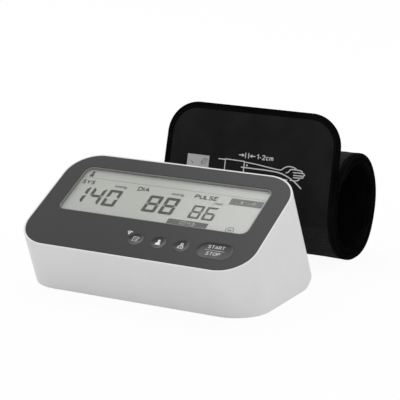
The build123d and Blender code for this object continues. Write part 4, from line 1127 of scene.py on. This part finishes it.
def cover_relief(x, u):
    """The smooth cover: pulled down at the tape, lightly rumpled, with a folded hem at its end."""
    inside = rim_distance(x, u) - TAPE_W
    puff = PUFF * (1 - fading(inside, PUFF_REACH)) - PUFF_SINK
    waves = uneven(x, u, COVER_WAVES) * ease(inside, 0, 12 * MM)
    tucks = uneven(x, u, COVER_TUCKS) * fading(inside, TUCK_REACH)
    to_seam = seam_line(x) - u
    hem = HEM_H * ease(to_seam, *HEM_START) * (1 - ease(to_seam, *HEM_END))
    groove = -GROOVE_H * np.exp(-((to_seam - GROOVE_AT) / GROOVE_W) ** 2)
    return puff + waves + tucks + hem + groove


def loop_relief(x, u):
    """The loop panel: matted pile, lying flatter where the roll covers it."""
    inside = rim_distance(x, u) - TAPE_W
    height = 0.2 * MM + uneven(x, u, LOOP_PILE) + uneven(x, u, LOOP_WAVES)
    free = 1 - PRESSED_PILE * ease(u, COVERED_U - 8 * MM, COVERED_U)
    return height * ease(inside, -0.3 * MM, 1.5 * MM) * free


def lining_relief(x, u):
    """The lining: drawn up into soft creases across the roll, where it is bent inwards."""
    inside = rim_distance(x, u) - TAPE_W
    creases = uneven(x * CREASE_STRETCH, u, LINING_CREASES) + uneven(x, u, LINING_WAVES)
    opens = ease(u, along(INNER_END_ANGLE - 372), along(INNER_END_ANGLE - 350))
    free = PRESSED_LINING + (1 - PRESSED_LINING) * opens
    rolled = np.where(u < 0, FLAP_LINING, free)
    return (0.1 * MM + creases) * ease(inside, -0.3 * MM, 5 * MM) * rolled


FLAP_CORNER_ROWS, INNER_CORNER_ROWS = 16, 12


def strip_rows(inset, start, end, pitch):
    """Rows of (u, half width) down the strip, following its round corners."""
    half = CUFF_W / 2 - inset
    rows, low = [], start
    if start < -FLAP_L + FLAP_R:
        radius, top = FLAP_R - inset, -FLAP_L + inset
        for turn in np.linspace(0, pi / 2, FLAP_CORNER_ROWS):
            rows.append((top + radius * (1 - cos(turn)), half - radius * (1 - sin(turn))))
        low = rows.pop()[0]
    high, bottom = end, []
    if end > STRIP_END - INNER_CORNER_R:
        radius, foot = INNER_CORNER_R - inset, STRIP_END - inset
        for turn in np.linspace(pi / 2, 0, INNER_CORNER_ROWS):
            bottom.append((foot - radius * (1 - cos(turn)), half - radius * (1 - sin(turn))))
        high = bottom.pop(0)[0]
    rows += [(u, half) for u in np.linspace(low, high, max(2, round((high - low) / pitch) + 1))]
    return rows + bottom


def cloth_layer(name, rows, columns, upper, lower, material, slant=None):
    """A layer of the strip with a face and a back, closed round its edge. upper and lower give n."""
    share = np.linspace(-1, 1, columns)
    u = np.array([[row[0]] * columns for row in rows])
    x = np.array([CUFF_MID_X + row[1] * share for row in rows])
    if slant is not None:
        u = slant(x, u)
    sides = [on_strip(x, u, side(x, u)).reshape(-1, 3) for side in (upper, lower)]
    count, depth = len(rows) * columns, len(rows)
    faces = []
    for row in range(depth - 1):
        for column in range(columns - 1):
            a = row * columns + column
            quad = (a, a + 1, a + columns + 1, a + columns)
            faces += [quad, tuple(count + i for i in reversed(quad))]
    rim = [*range(columns)] + [row * columns + columns - 1 for row in range(1, depth)]
    rim += [(depth - 1) * columns + c for c in range(columns - 2, -1, -1)]
    rim += [row * columns for row in range(depth - 2, 0, -1)]
    for i, j in zip(rim, rim[1:] + rim[:1]):
        faces.append((j, i, count + i, count + j))
    thing = new_object(name, np.concatenate(sides), faces, material, 60)
    flat = np.tile(np.stack([x.ravel(), u.ravel()], -1), (2, 1))
    lay_cloth(thing, np.concatenate(sides), flat)
    return thing


def lay_cloth(thing, points, flat):
    """Writes the cloth's own metres across and along as the piece's UV map."""
    tree = KDTree(len(points))
    for index, point in enumerate(points):
        tree.insert(point, index)
    tree.balance()
    found = [tree.find(vertex.co)[1] for vertex in thing.data.vertices]
    corners = np.zeros(len(thing.data.loops), int)
    thing.data.loops.foreach_get("vertex_index", corners)
    layer = thing.data.uv_layers.new(name="cloth")
    layer.data.foreach_set("uv", np.asarray(flat)[np.array(found)[corners]].astype(np.float32).ravel())


BEND_REACH = 9 * MM


def bend_over_fold(thing):
    """The piece crosses the fold; its transform is baked into its mesh."""
    start = on_strip(CUFF_MID_X, BEND_REACH, 0).tolist()
    end = on_strip(CUFF_MID_X, -BEND_REACH, 0).tolist()
    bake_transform(thing)


# ================================================================ the cuff's pieces
TAPE_CORNER_STEPS, TAPE_PITCH = 24, 1.7 * MM
# Half of the tape's section, from the edge of its outer leg round to the fold: in from the
# strip's edge and out from its middle, in millimetres
TAPE_LEG = [(4.8, 1.45), (4.8, 1.85), (4.5, 2.0), (3.6, 1.93), (2.4, 2.05), (1.2, 1.98)]
TAPE_LEG += [(0.5, 1.6), (0.12, 0.9)]
TAPE_BULK, TAPE_INSIDE = 0.45 * MM, 0.72
PUCKER, PUCKER_L, PUCKER_WAX_L = 0.035, 5.2 * MM, 23 * MM


def tape_path():
    """The strip's outline as (x, u, inward x, inward u), all the way round."""
    left, right = CUFF_LEFT, CUFF_RIGHT
    corners = (
        (left + FLAP_R, -FLAP_L + FLAP_R, FLAP_R, pi),
        (right - FLAP_R, -FLAP_L + FLAP_R, FLAP_R, 1.5 * pi),
        (right - INNER_CORNER_R, STRIP_END - INNER_CORNER_R, INNER_CORNER_R, 0),
        (left + INNER_CORNER_R, STRIP_END - INNER_CORNER_R, INNER_CORNER_R, 0.5 * pi),
    )
    path = []
    for index, (x, u, radius, start) in enumerate(corners):
        for step in range(TAPE_CORNER_STEPS + 1):
            turn = start + step / TAPE_CORNER_STEPS * pi / 2
            path.append((x + radius * cos(turn), u + radius * sin(turn), -cos(turn), -sin(turn)))
        x, u, radius, start = corners[(index + 1) % 4]
        x0, u0, in_x, in_u = path[-1]
        over_x, over_u = x + radius * cos(start) - x0, u + radius * sin(start) - u0
        steps = max(2, round(hypot(over_x, over_u) / TAPE_PITCH))
        for step in range(1, steps):
            path.append((x0 + over_x * step / steps, u0 + over_u * step / steps, in_x, in_u))
    return np.array(path)


def tape_runs():
    """The strip's outline in two runs that meet: round the flap, and round the rest of the roll."""
    path = tape_path()
    above = path[:, 1] <= SPLIT_U
    first = next(index for index in range(len(path)) if above[index] and not above[index - 1])
    path = np.roll(path, -first, axis=0)
    last = int(np.count_nonzero(path[:, 1] <= SPLIT_U))
    lengths = np.concatenate([[0], np.cumsum(np.hypot(*np.diff(path[:, :2], axis=0).T))])
    lengths = np.append(lengths, lengths[-1] + hypot(*(path[0, :2] - path[-1, :2])))
    path = np.concatenate([path, path[:1]])
    return (path[:last + 1], lengths[:last + 1]), (path[last:], lengths[last:])


def make_binding(name, path, lengths):
    """A run of the edge tape, folded over the strip's edge and lightly puckered by its seam."""
    outer = TAPE_LEG + [(0, 0)] + [(d, -n) for d, n in reversed(TAPE_LEG)]
    section = [(d * MM, n * MM) for d, n in outer]
    for d, n in reversed(outer[2:-2]):
        section.append((d * MM + (TAPE_BULK if d < 1 else 0), n * MM * TAPE_INSIDE))
    rings = []
    for (x, u, in_x, in_u), length in zip(path, lengths):
        pucker = 1 + PUCKER * sin(length / PUCKER_L * 2 * pi) * sin(length / PUCKER_WAX_L)
        rings.append([(x + in_x * d, u + in_u * d, n * pucker) for d, n in section])
    flat = np.array(rings)
    points = on_strip(flat[..., 0], flat[..., 1], flat[..., 2]).reshape(-1, 3)
    count = len(section)
    end = (len(rings) - 1) * count
    faces = [tuple(reversed(range(count))), tuple(range(end, end + count))]
    for low in range(0, end, count):
        for i in range(count):
            j = (i + 1) % count
            faces.append((low + i, low + j, low + count + j, low + count + i))
    thing = new_object(name, points, faces, tape_nylon, 50)
    steps = [hypot(d1 - d0, n1 - n0) for (d0, n0), (d1, n1) in zip(section, section[1:])]
    across = [0, *np.cumsum(steps)]
    lay_cloth(thing, points, [(length, wrap) for length in lengths for wrap in across])
    return thing


SKIN_INSET = TAPE_W - 0.7 * MM     # the skins run a little way under the tape
SKIN_COLUMNS, COVER_PITCH = 121, 1.2 * MM
PILE_PITCH, HIDDEN_PITCH, HIDDEN_AFTER = 1.15 * MM, 4 * MM, 4 * MM
LINING_PITCH, LINING_COLUMNS = 2.2 * MM, 64
SEAM_REACH = 20 * MM


def skin(name, rows, material, tape_w, height, slant):
    """An outer skin, pressed thin where it runs under the tape."""

    def upper(x, u):
        return np.where(rim_distance(x, u) < tape_w, SKIN_LOW + 0.3 * MM, height(x, u))

    def lower(x, u):
        return SKIN_LOW + 0 * x

    return cloth_layer(name, rows, SKIN_COLUMNS, upper, lower, material, slant)


def make_cover():
    """The smooth cover, in one piece from the flap's top to the loop panel."""
    rows = strip_rows(SKIN_INSET, -FLAP_L, SEAM_U, COVER_PITCH)

    def skewed(x, u):
        return np.where(u > 0, u * seam_line(x) / SEAM_U, u)

    def height(x, u):
        return SKIN_TOP + cover_relief(x, u) - 0.2 * MM

    thing = skin("smooth_cover", rows, cover_nylon, TAPE_W, height, skewed)
    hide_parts("cuff_outer_cover", "flap_cover")
    bend_over_fold(thing)
    return thing


def make_loop_panel():
    """The loop panel round the rest of the roll, finely divided only where it shows."""
    change = COVERED_U + HIDDEN_AFTER
    rows = strip_rows(SKIN_INSET, SEAM_U, change, PILE_PITCH)
    rows += strip_rows(SKIN_INSET, change, STRIP_END, HIDDEN_PITCH)[1:]

    def skewed(x, u):
        gap = np.clip(1 - (u - SEAM_U) / SEAM_REACH, 0, 1)
        return u + gap * (seam_line(x) - SEAM_U)

    def height(x, u):
        return SKIN_TOP - 0.25 * MM + loop_relief(x, u)

    thing = skin("loop_panel", rows, loop_cloth, TAPE_W - 0.2 * MM, height, skewed)
    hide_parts("cuff_loop_panel")
    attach(thing, "cuff")
    return thing


def make_lining(name, start, end):
    """The lining of the flap or of the roll."""
    rows = strip_rows(SKIN_INSET, start, end, LINING_PITCH)

    def level(u, flap, roll):
        return flap + (roll - flap) * ease(u, -3 * MM, 3 * MM)

    def upper(x, u):
        return -level(u, 0.1 * MM, LINING_TOP)

    def lower(x, u):
        under_tape = rim_distance(x, u) < TAPE_W - 0.2 * MM
        free = -level(u, 0.9 * MM, LINING_LOW - 0.1 * MM) - lining_relief(x, u)
        return np.where(under_tape, np.maximum(free, -1.4 * MM), free)

    thing = cloth_layer(name, rows, LINING_COLUMNS, upper, lower, lining_nylon)
    return thing


BLADDER_FROM, BLADDER_TO, BLADDER_MARGIN = 296, 690, 9 * MM
BLADDER_ROWS, BLADDER_COLUMNS, WELD = 90, 41, (3 * MM, 5 * MM)


def make_bladder():
    """The flat air bladder between the curler and the lining, thinner along its welded edge."""
    start, end = along(BLADDER_FROM), along(BLADDER_TO)
    half = CUFF_W / 2 - TAPE_W - BLADDER_MARGIN
    rows = [(u, half) for u in np.linspace(start, end, BLADDER_ROWS)]

    def swell(x, u):
        edge = np.minimum(half - np.abs(x - CUFF_MID_X), np.minimum(u - start, end - u))
        return ease(edge, *WELD)

    def upper(x, u):
        return -0.1 * MM + 0.15 * MM * swell(x, u)

    def lower(x, u):
        return -0.5 * MM - 0.35 * MM * swell(x, u)

    thing = cloth_layer("air_bladder", rows, BLADDER_COLUMNS, upper, lower, bladder_rubber)
    fit_out(thing, "cuff", "rubber", "cuff_bladder")


def make_port():
    """The air port moulded on the cuff's left edge: a chamfered pin, then a ribbed sleeve."""
    box_low, box_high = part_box("cuff_air_port")
    centre = Vector((box_low.x, (box_low.y + box_high.y) / 2, (box_low.z + box_high.z) / 2))
    bore, pin, sleeve, tip, end, floor = 1.5, 2.4, 3.4, 12, 32, 15.4     # in millimetres
    profile = [(bore, 0.3), (pin - 0.4, 0), (pin, 0.4), (pin, tip - 0.6), (pin + 0.3, tip)]
    profile += [(sleeve - 0.3, tip), (sleeve, tip + 0.3)]
    for rib in range(3):
        at, valley = tip + 2 + rib * 2, sleeve - 0.35
        profile += [(sleeve, at), (valley, at + 0.2), (valley, at + 0.8), (sleeve, at + 1)]
    profile += [(sleeve, end - 0.5), (sleeve - 0.5, end), (0, end), (0, floor), (bore, floor)]
    profile = [(radius * MM, depth * MM) for radius, depth in profile]
    thing = turned("air_port_moulding", profile, centre, (1, 0, 0), black_plastic, 48)
    fit_out(thing, "cuff", "black_component", "cuff_air_port")


# ================================================================ what repeats, by Geometry Nodes
class Tree:
    """A geometry node tree with named inputs and one geometry output."""

    def __init__(self, name, **sizes):
        self.group = bpy.data.node_groups.new(name, "GeometryNodeTree")
        sockets = self.group.interface
        sockets.new_socket("Geometry", in_out="INPUT", socket_type="NodeSocketGeometry")
        self.keys = {}
        for size, value in sizes.items():
            socket = sockets.new_socket(size, in_out="INPUT", socket_type="NodeSocketFloat")
            socket.default_value = value
            self.keys[size] = (socket.identifier, value)
        sockets.new_socket("Geometry", in_out="OUTPUT", socket_type="NodeSocketGeometry")
        self.given = self.group.nodes.new("NodeGroupInput")
        self.result = self.group.nodes.new("NodeGroupOutput")

    def add(self, kind, settings=None, **inputs):
        """Adds a node with its settings; inputs are values or (node, output name) pairs."""
        node = self.group.nodes.new(kind)
        for key, value in (settings or {}).items():
            setattr(node, key, value)
        for key, value in inputs.items():
            socket = next(s for s in node.inputs if s.name.replace(" ", "_") == key and s.enabled)
            if isinstance(value, tuple) and len(value) == 2 and hasattr(value[0], "outputs"):
                self.group.links.new(value[0].outputs[value[1]], socket)
            else:
                socket.default_value = value
        return node

    def place(self, points, instance, rotation, scale):
        """A copy of an instance at each point."""
        inputs = {"Points": points, "Instance": instance, "Rotation": rotation, "Scale": scale}
        return self.add("GeometryNodeInstanceOnPoints", **inputs), "Instances"

    def grow(self, thing, last, material):
        """Ends the tree in real geometry with its material and bakes it into the object."""
        real = self.add("GeometryNodeRealizeInstances", Geometry=last)
        finish = self.add("GeometryNodeSetMaterial", Geometry=(real, "Geometry"), Material=material)
        self.group.links.new(finish.outputs["Geometry"], self.result.inputs[0])
        grower = thing.modifiers.new("grow", "NODES")
        grower.node_group = self.group
        for identifier, value in self.keys.values():
            grower[identifier] = value
        bake(thing)
        thing.data.shade_smooth()
        return thing


def line_object(name, points, joined=True):
    """The points of a line, joined in a row, for a tree to follow."""
    mesh = bpy.data.meshes.new(name)
    edges = [(i, i + 1) for i in range(len(points) - 1)] if joined else []
    mesh.from_pydata([tuple(point) for point in points], edges, [])
    return in_scene(name, mesh)


STITCH = {"Pitch": 2.9 * MM, "Length": 2.1 * MM, "Thickness": 0.4 * MM}


def make_stitches(name, points):
    """A row of stitches along a line: short rounded threads at a pitch."""
    thing = line_object(name, points)
    tree = Tree(f"{name}_tree", **STITCH)
    given = tree.given
    line = tree.add("GeometryNodeMeshToCurve", Mesh=(given, "Geometry"))
    inputs = {"Curve": (line, "Curve"), "Length": (given, "Pitch")}
    spots = tree.add("GeometryNodeCurveToPoints", {"mode": "LENGTH"}, **inputs)
    stitch = tree.add("GeometryNodeMeshUVSphere", Segments=6, Rings=5, Radius=0.5)
    thick = (given, "Thickness")
    size = tree.add("ShaderNodeCombineXYZ", X=thick, Y=thick, Z=(given, "Length"))
    row = tree.place((spots, "Points"), (stitch, "Mesh"), (spots, "Rotation"), (size, "Vector"))
    return tree.grow(thing, row, thread)


HEM_STITCHES_IN, TAPE_STITCHES_IN, TAPE_STITCHES_OUT = 2.2 * MM, 3.5 * MM, 1.93 * MM


def make_hem_stitches():
    """The stitching along the smooth cover's hem."""
    x = np.linspace(CUFF_LEFT + TAPE_W, CUFF_RIGHT - TAPE_W, 90)
    u = seam_line(x) - HEM_STITCHES_IN
    n = SKIN_TOP + cover_relief(x, u) - 0.2 * MM
    row = make_stitches("hem_stitches", on_strip(x, u, n))
    fit_out(row, "cuff", "smooth_fabric")


def make_tape_stitches(name, path):
    """The stitching along a run of the tape, on both sides."""
    flat = path[:, :2] + path[:, 2:] * TAPE_STITCHES_IN
    rows = []
    for side, n in (("outer", TAPE_STITCHES_OUT), ("inner", -TAPE_STITCHES_OUT)):
        row = make_stitches(f"{name}_{side}", on_strip(flat[:, 0], flat[:, 1], n))
        rows.append(row)
    return rows


# The hook patch, measured up from the fold
HOOKS_LOW, HOOKS_HIGH, HOOKS_HALF_W, HOOKS_R = 10 * MM, 52 * MM, 56 * MM, 8 * MM
HOOKS_MID, HOOKS_HALF_L = 31 * MM, 21 * MM
HOOK_BACKING = ((-1.05, 0), (-1.25, 0), (-1.3, 0.25))     # how far out and how far in from its edge, in mm
HOOK_ROWS, HOOK_COLUMNS, HOOK_PITCH = 25, 68, 1.62 * MM
HOOK_BEND = {"Start": (0, 0, 0), "Start_Handle": (0, 0, 1.2)}
HOOK_BEND |= {"End_Handle": (0, 1.0, 1.5), "End": (0, 1.0, 0.55)}


def hook_spots():
    """Where the hooks stand: rows and columns inside the patch's rounded outline."""
    left, low = CUFF_MID_X - 54.4 * MM, HOOKS_LOW + 1.6 * MM
    spots = []
    for row in range(HOOK_ROWS):
        for column in range(HOOK_COLUMNS):
            x, s = left + column * HOOK_PITCH, low + row * HOOK_PITCH
            over_x = abs(x - CUFF_MID_X) - (HOOKS_HALF_W - HOOKS_R)
            over_s = abs(s - HOOKS_MID) - (HOOKS_HALF_L - HOOKS_R)
            if hypot(max(over_x, 0), max(over_s, 0)) < HOOKS_R - 1.2 * MM:
                spots.append(on_strip(x, -s, -1.28 * MM))
    return spots


def make_hooks():
    """The hook patch on the flap's back: a woven backing with rows of small bent hooks."""
    size, middle = (2 * HOOKS_HALF_W, HOOKS_HIGH - HOOKS_LOW), (CUFF_MID_X, HOOKS_MID)
    outline = rounded_ring(*size, [HOOKS_R] * 4, middle, 10)
    rings = []
    for n, pull in HOOK_BACKING:
        share_x, share_s = pull * MM / HOOKS_HALF_W, pull * MM / HOOKS_HALF_L
        loop = [(x - (x - CUFF_MID_X) * share_x, s - (s - HOOKS_MID) * share_s) for x, s in outline]
        rings.append([Vector(on_strip(x, -s, n * MM)) for x, s in loop])
    backing = new_object("hook_backing", *rings_to_mesh(rings), hook_cloth)
    fit_out(backing, "flap", "loop_fabric", "flap_hook_patch")
    field = line_object("hook_rows", hook_spots(), joined=False)
    tree = Tree("hook_rows_tree", Thickness=0.13 * MM, Height=0.5 * MM)
    stem = tree.add("GeometryNodeCurvePrimitiveBezierSegment", Resolution=5, **HOOK_BEND)
    section = tree.add("GeometryNodeCurvePrimitiveCircle", Resolution=4, Radius=0.16)
    inputs = {"Curve": (stem, "Curve"), "Profile_Curve": (section, "Curve"), "Fill_Caps": True}
    hook = tree.add("GeometryNodeCurveToMesh", **inputs)
    height = (tree.given, "Height")
    size = tree.add("ShaderNodeCombineXYZ", X=height, Y=height, Z=height)
    out = on_strip(CUFF_MID_X, -0.03, -1.0) - on_strip(CUFF_MID_X, -0.03, 0.0)
    turn = Vector((0, 0, 1)).rotation_difference(Vector(out)).to_euler()
    rows = tree.place((tree.given, "Geometry"), (hook, "Mesh"), tuple(turn), (size, "Vector"))
    tree.grow(field, rows, hook_cloth)
    fit_out(field, "flap", "loop_fabric")


# ================================================================ what is printed on the flap
def on_cover(x, s, height):
    """A point on the flap's cover: x from its right edge, s up from the fold."""
    x, u = CUFF_RIGHT + x, -s
    relief = float(cover_relief(np.array([x]), np.array([u]))[0])
    n = SKIN_TOP - 0.2 * MM + relief + 0.05 * MM + height
    return Vector(on_strip(x, u, n))


# Lines of the diagram: across from the flap's right edge and up from its fold, in millimetres
PEN, ARROW_PEN = 0.75, 0.7
CUFF_EDGES = ([(-100, 25.2), (-94.2, 25.2)], [(-94, 26), (-94, 12)],
              [(-94, 25.7), (-78, 25.4)], [(-77.6, 25.7), (-77.6, 12)])
ARM_TOP = [(-77, 24.9), (-68, 24.3), (-58, 23.2), (-48, 22.2), (-45.5, 22.6), (-43, 24.6), (-40, 25.6),
           (-36.5, 25.5), (-33.5, 24.4)]
THUMB = [(-42, 20.6), (-40, 21.2), (-38.2, 23.4), (-35.5, 23.7), (-30, 23.5), (-28.4, 22.8), (-28.6, 21.8)]
FINGERS = ([(-36, 21.4), (-30, 21.6), (-27, 21.4), (-26.2, 20.4), (-27.2, 19.6), (-35.5, 19.4)],
           [(-35.5, 17.6), (-29.5, 17.8), (-27.6, 18.2), (-27, 19)],
           [(-38, 15.4), (-34, 15.2), (-31, 15.9), (-30.2, 17)])
ARM_LOW = [(-77, 13.2), (-66, 13.8), (-55, 14.6), (-46, 15.2), (-40, 15.1)]
TUBE = [(-80, 20.7), (-68, 20.7), (-58, 20.6), (-48, 20.0), (-41, 18), (-35, 15), (-31, 12.2), (-28, 9.8)]
LABEL_LEFT, LABEL_LOW, LABEL_W, LABEL_H = -127, 14.2, 19, 12.3
LABEL_COLUMNS, LABEL_ROWS, LABEL_THICK = 9, 6, 0.12 * MM
LABEL_MARKS = (
    ([(-114.6, 20.2), (-113.6, 22.6), (-111.4, 24.2), (-109.8, 23.6), (-110.4, 21.4), (-112.6, 19.6),
      (-114.6, 20.2)], 0.35),
    ([(-114.4, 20.3), (-112.4, 22), (-110.2, 23.4)], 0.3),
    ([(-123.5, 21.2), (-122.2, 20.2), (-121.6, 18.8)], 0.35),
)


def drawn(points, width=PEN):
    """A flowing line."""
    return line_shape(flowing(points, 1.3), width)


def ruled(points, width=PEN):
    """A line with corners, divided so that it follows the cloth."""
    dense = []
    for (x0, y0), (x1, y1) in zip(points, points[1:]):
        steps = max(1, round(hypot(x1 - x0, y1 - y0) / 1.5))
        dense += [(x0 + (x1 - x0) * k / steps, y0 + (y1 - y0) * k / steps) for k in range(steps)]
    return line_shape(dense + [points[-1]], width)


def wearing_shapes():
    """How to wear the cuff: an arm, the cuff on it, its tube and the gap to leave."""
    shapes = [ruled(points) for points in CUFF_EDGES]
    shapes += [drawn(points) for points in (ARM_TOP, THUMB, *FINGERS, ARM_LOW)]
    shapes += [drawn(TUBE, 0.9), disc_shape(-75.2, 22.6, 0.75, 12)]
    shapes += [ruled([(x, 32.2), (x, 28)], ARROW_PEN) for x in (-77.2, -74.6)]
    for way, tip in ((1, -77.9), (-1, -73.9)):
        shapes += [ruled([(tip - way * 5, 30.1), (tip - way * 1.8, 30.1)], ARROW_PEN)]
        shapes += [outline_shape([(tip, 30.1), (tip - way * 2.3, 31.4), (tip - way * 2.3, 28.8)])]
    return shapes + written("1-2cm", -67.7, 28.1, 14.2, 4.0, 0.66)


def label_grid():
    """The label's outline, divided so that it follows the cloth."""
    points = []
    for row in range(LABEL_ROWS + 1):
        y = LABEL_LOW + LABEL_H * row / LABEL_ROWS
        points += [(LABEL_LEFT + LABEL_W * i / LABEL_COLUMNS, y) for i in range(LABEL_COLUMNS + 1)]
    pitch = LABEL_COLUMNS + 1
    starts = [row * pitch + i for row in range(LABEL_ROWS) for i in range(LABEL_COLUMNS)]
    return points, [(at, at + 1, at + pitch + 1, at + pitch) for at in starts]


def make_flap_prints():
    """A plain diagram and a woven label with a few marks of its own."""

    def on_label(x, s, height):
        return on_cover(x, s, height + LABEL_THICK + 0.01 * MM)

    prints = (
        marks("wearing_diagram", wearing_shapes(), on_cover, cuff_ink),
        marks("size_label", [label_grid()], on_cover, label_cloth, LABEL_THICK),
        marks("size_label_print", [drawn(*line) for line in LABEL_MARKS], on_label, label_ink),
    )
    for piece in prints:
        fit_out(piece, "flap", "smooth_fabric")


# ================================================================ the pieces kept from the frame
kept = (
    (panel_plastic, "front_panel"),
    (gasket_foam, "panel_gasket"),
    (frame_plastic, "display_frame"),
    (lens_finish, "display_lens"),
    (lcd_finish, "lcd_glass"),
    (inner_plastic, "lcd_holder", "button_guide", "pump_cradle", "air_manifold"),
    (feet_rubber, "lcd_connector", "feet"),
    (black_plastic, "tact_switches", "control_chips", "buzzer", "pump_head", "release_valve"),
    (black_plastic, "pressure_sensor", "power_jack"),
    (board_finish, "main_board", "sensor_board"),
    (steel, "board_screws", "wireless_module", "case_screws", "battery_contacts", "battery_springs"),
    (cover_plastic, "bottom_cover", "battery_door"),
    (cell_can, "battery_cells"),
    (motor_steel, "pump_motor"),
    (hose_rubber, "air_hoses"),
    (jack_plastic, "air_jack"),
    (curler_plastic, "cuff_curler", "flap_core"),
)
for finish, *nodes in kept:
    for node in nodes:
        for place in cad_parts[node].material_slots:
            place.material = finish

make_housing()
make_bosses()
for button, button_x in SMALL_BUTTONS.items():
    make_small_button(button, button_x)
make_start_button()
make_button_prints()
make_signal_print()
make_display_marks()

cover, loop_panel = make_cover(), make_loop_panel()
flap_run, roll_run = tape_runs()
flap_lining = make_lining("flap_lining_cloth", -FLAP_L, SPLIT_U)
roll_lining = make_lining("roll_lining", SPLIT_U, STRIP_END)
flap_tape, roll_tape = make_binding("flap_tape", *flap_run), make_binding("roll_tape", *roll_run)
flap_stitches = make_tape_stitches("flap_stitches", flap_run[0])
roll_stitches = make_tape_stitches("roll_stitches", roll_run[0])
make_hem_stitches()
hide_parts("flap_lining")
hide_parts("cuff_inner_cover")
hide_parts("flap_binding")
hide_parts("cuff_edge_binding")
for piece in (flap_lining, flap_tape, *flap_stitches):
    bend_over_fold(piece)
for piece in (roll_lining, roll_tape, *roll_stitches):
    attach(piece, "cuff")
make_bladder()
make_port()
make_hooks()
make_flap_prints()

# Flat sizes: the skins are as wide as the strip less its two tapes, and each is as long as its run
flap_l, roll_l = FLAP_L - TAPE_W, STRIP_END - TAPE_W
flap_l + SEAM_U
roll_l - SEAM_U
flap_l + SPLIT_U
roll_l - SPLIT_U
for tape, run, rows in ((flap_tape, flap_run, flap_stitches), (roll_tape, roll_run, roll_stitches)):
    tape_l = float(run[1][-1] - run[1][0])
    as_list(rows)


# ================================================================ stage, lights and camera
WHITE = (1, 1, 1, 1)
ROOM_LIGHT, FLOOR_GLOW, FLOOR_REACH = 0.8, 0.94, 6.0
LIT_POINT = Vector((0, 0, 0.06))
LAMPS = (     # name, place, size and power
    ("top_softbox", (0.5, 0.8, 1.2), (0.9, 0.9), 4.0),
    ("high_softbox", (-0.4, 0.35, 1.3), (0.4, 0.4), 1.9),
    ("left_softbox", (-1.4, 0.5, 0.9), (2.2, 0.8), 8.0),
    ("front_softbox", (0.8, -1.4, 0.5), (1.2, 1.2), 3.5),
)
AZIMUTH, ELEVATION, ROLL = radians(28.281), radians(14.131), radians(0.265)
DISTANCE, AIM = 1197.93 * MM, Vector((24.792, -51.383, 67.205)) * MM
LENS, SENSOR_W, CLIP_NEAR, CLIP_FAR = 147.98, 36, 0.05, 50


def make_stage():
    """A plain white floor. It keeps the shadow, and shows white to the camera and in reflections."""
    paint = Paint("white_floor", (0.8, 0.8, 0.8), 0.9, Specular_IOR_Level=0.0)
    seen = paint.in_plain_sight()
    glow = paint.add("Emission", {}, {"Color": WHITE, "Strength": 1.0})
    surface = Wire(paint, paint.shader.outputs[0])
    shown = paint.add("MixShader", {}, {0: seen * FLOOR_GLOW, 1: surface, 2: glow})
    paint.feed(paint.tree.nodes["Material Output"].inputs["Surface"], shown)
    mesh = bpy.data.meshes.new("floor")
    corners = [(-FLOOR_REACH, -FLOOR_REACH, 0), (FLOOR_REACH, -FLOOR_REACH, 0)]
    corners += [(FLOOR_REACH, FLOOR_REACH, 0), (-FLOOR_REACH, FLOOR_REACH, 0)]
    mesh.from_pydata(corners, [], [(0, 1, 2, 3)])
    mesh.materials.append(paint.material)
    in_scene("floor", mesh)


def make_room():
    """An even soft room that is seen as pure white."""
    world = bpy.data.worlds.new("studio")
    bpy.context.scene.world = world
    world.use_nodes = True
    room = Nodes(world.node_tree)
    soft = world.node_tree.nodes["Background"]
    room.feed(soft.inputs["Color"], WHITE)
    room.feed(soft.inputs["Strength"], ROOM_LIGHT)
    bright = room.add("Background", {}, {"Color": WHITE, "Strength": 1.0})
    inputs = {0: room.in_plain_sight(), 1: Wire(room, soft.outputs[0]), 2: bright}
    room.feed(world.node_tree.nodes["World Output"].inputs["Surface"], room.add("MixShader", {}, inputs))


def make_lights():
    """Four large soft lamps, all turned to the middle of the object."""
    for name, place, size, power in LAMPS:
        light = bpy.data.lights.new(name, "AREA")
        light.shape, (light.size, light.size_y), light.energy = "RECTANGLE", size, power
        lamp = in_scene(name, light)
        lamp.location = place
        lamp.rotation_euler = (LIT_POINT - Vector(place)).to_track_quat("-Z", "Y").to_euler()


def make_camera():
    """A long lens that looks down on the object from its front right."""
    back = Vector((sin(AZIMUTH) * cos(ELEVATION), -cos(AZIMUTH) * cos(ELEVATION), sin(ELEVATION)))
    data = bpy.data.cameras.new("camera")
    data.lens, data.sensor_width, data.clip_start, data.clip_end = LENS, SENSOR_W, CLIP_NEAR, CLIP_FAR
    camera = in_scene("camera", data)
    turn = Matrix.Identity(4)
    for angle, axis in ((AZIMUTH, "Z"), (pi / 2 - ELEVATION, "X"), (ROLL, "Z")):
        turn = turn @ Matrix.Rotation(angle, 4, axis)
    camera.matrix_world = Matrix.Translation(AIM + back * DISTANCE) @ turn
    bpy.context.scene.camera = camera


make_stage()
make_room()
make_lights()
make_camera()
bpy.context.scene.view_settings.view_transform = "Standard"
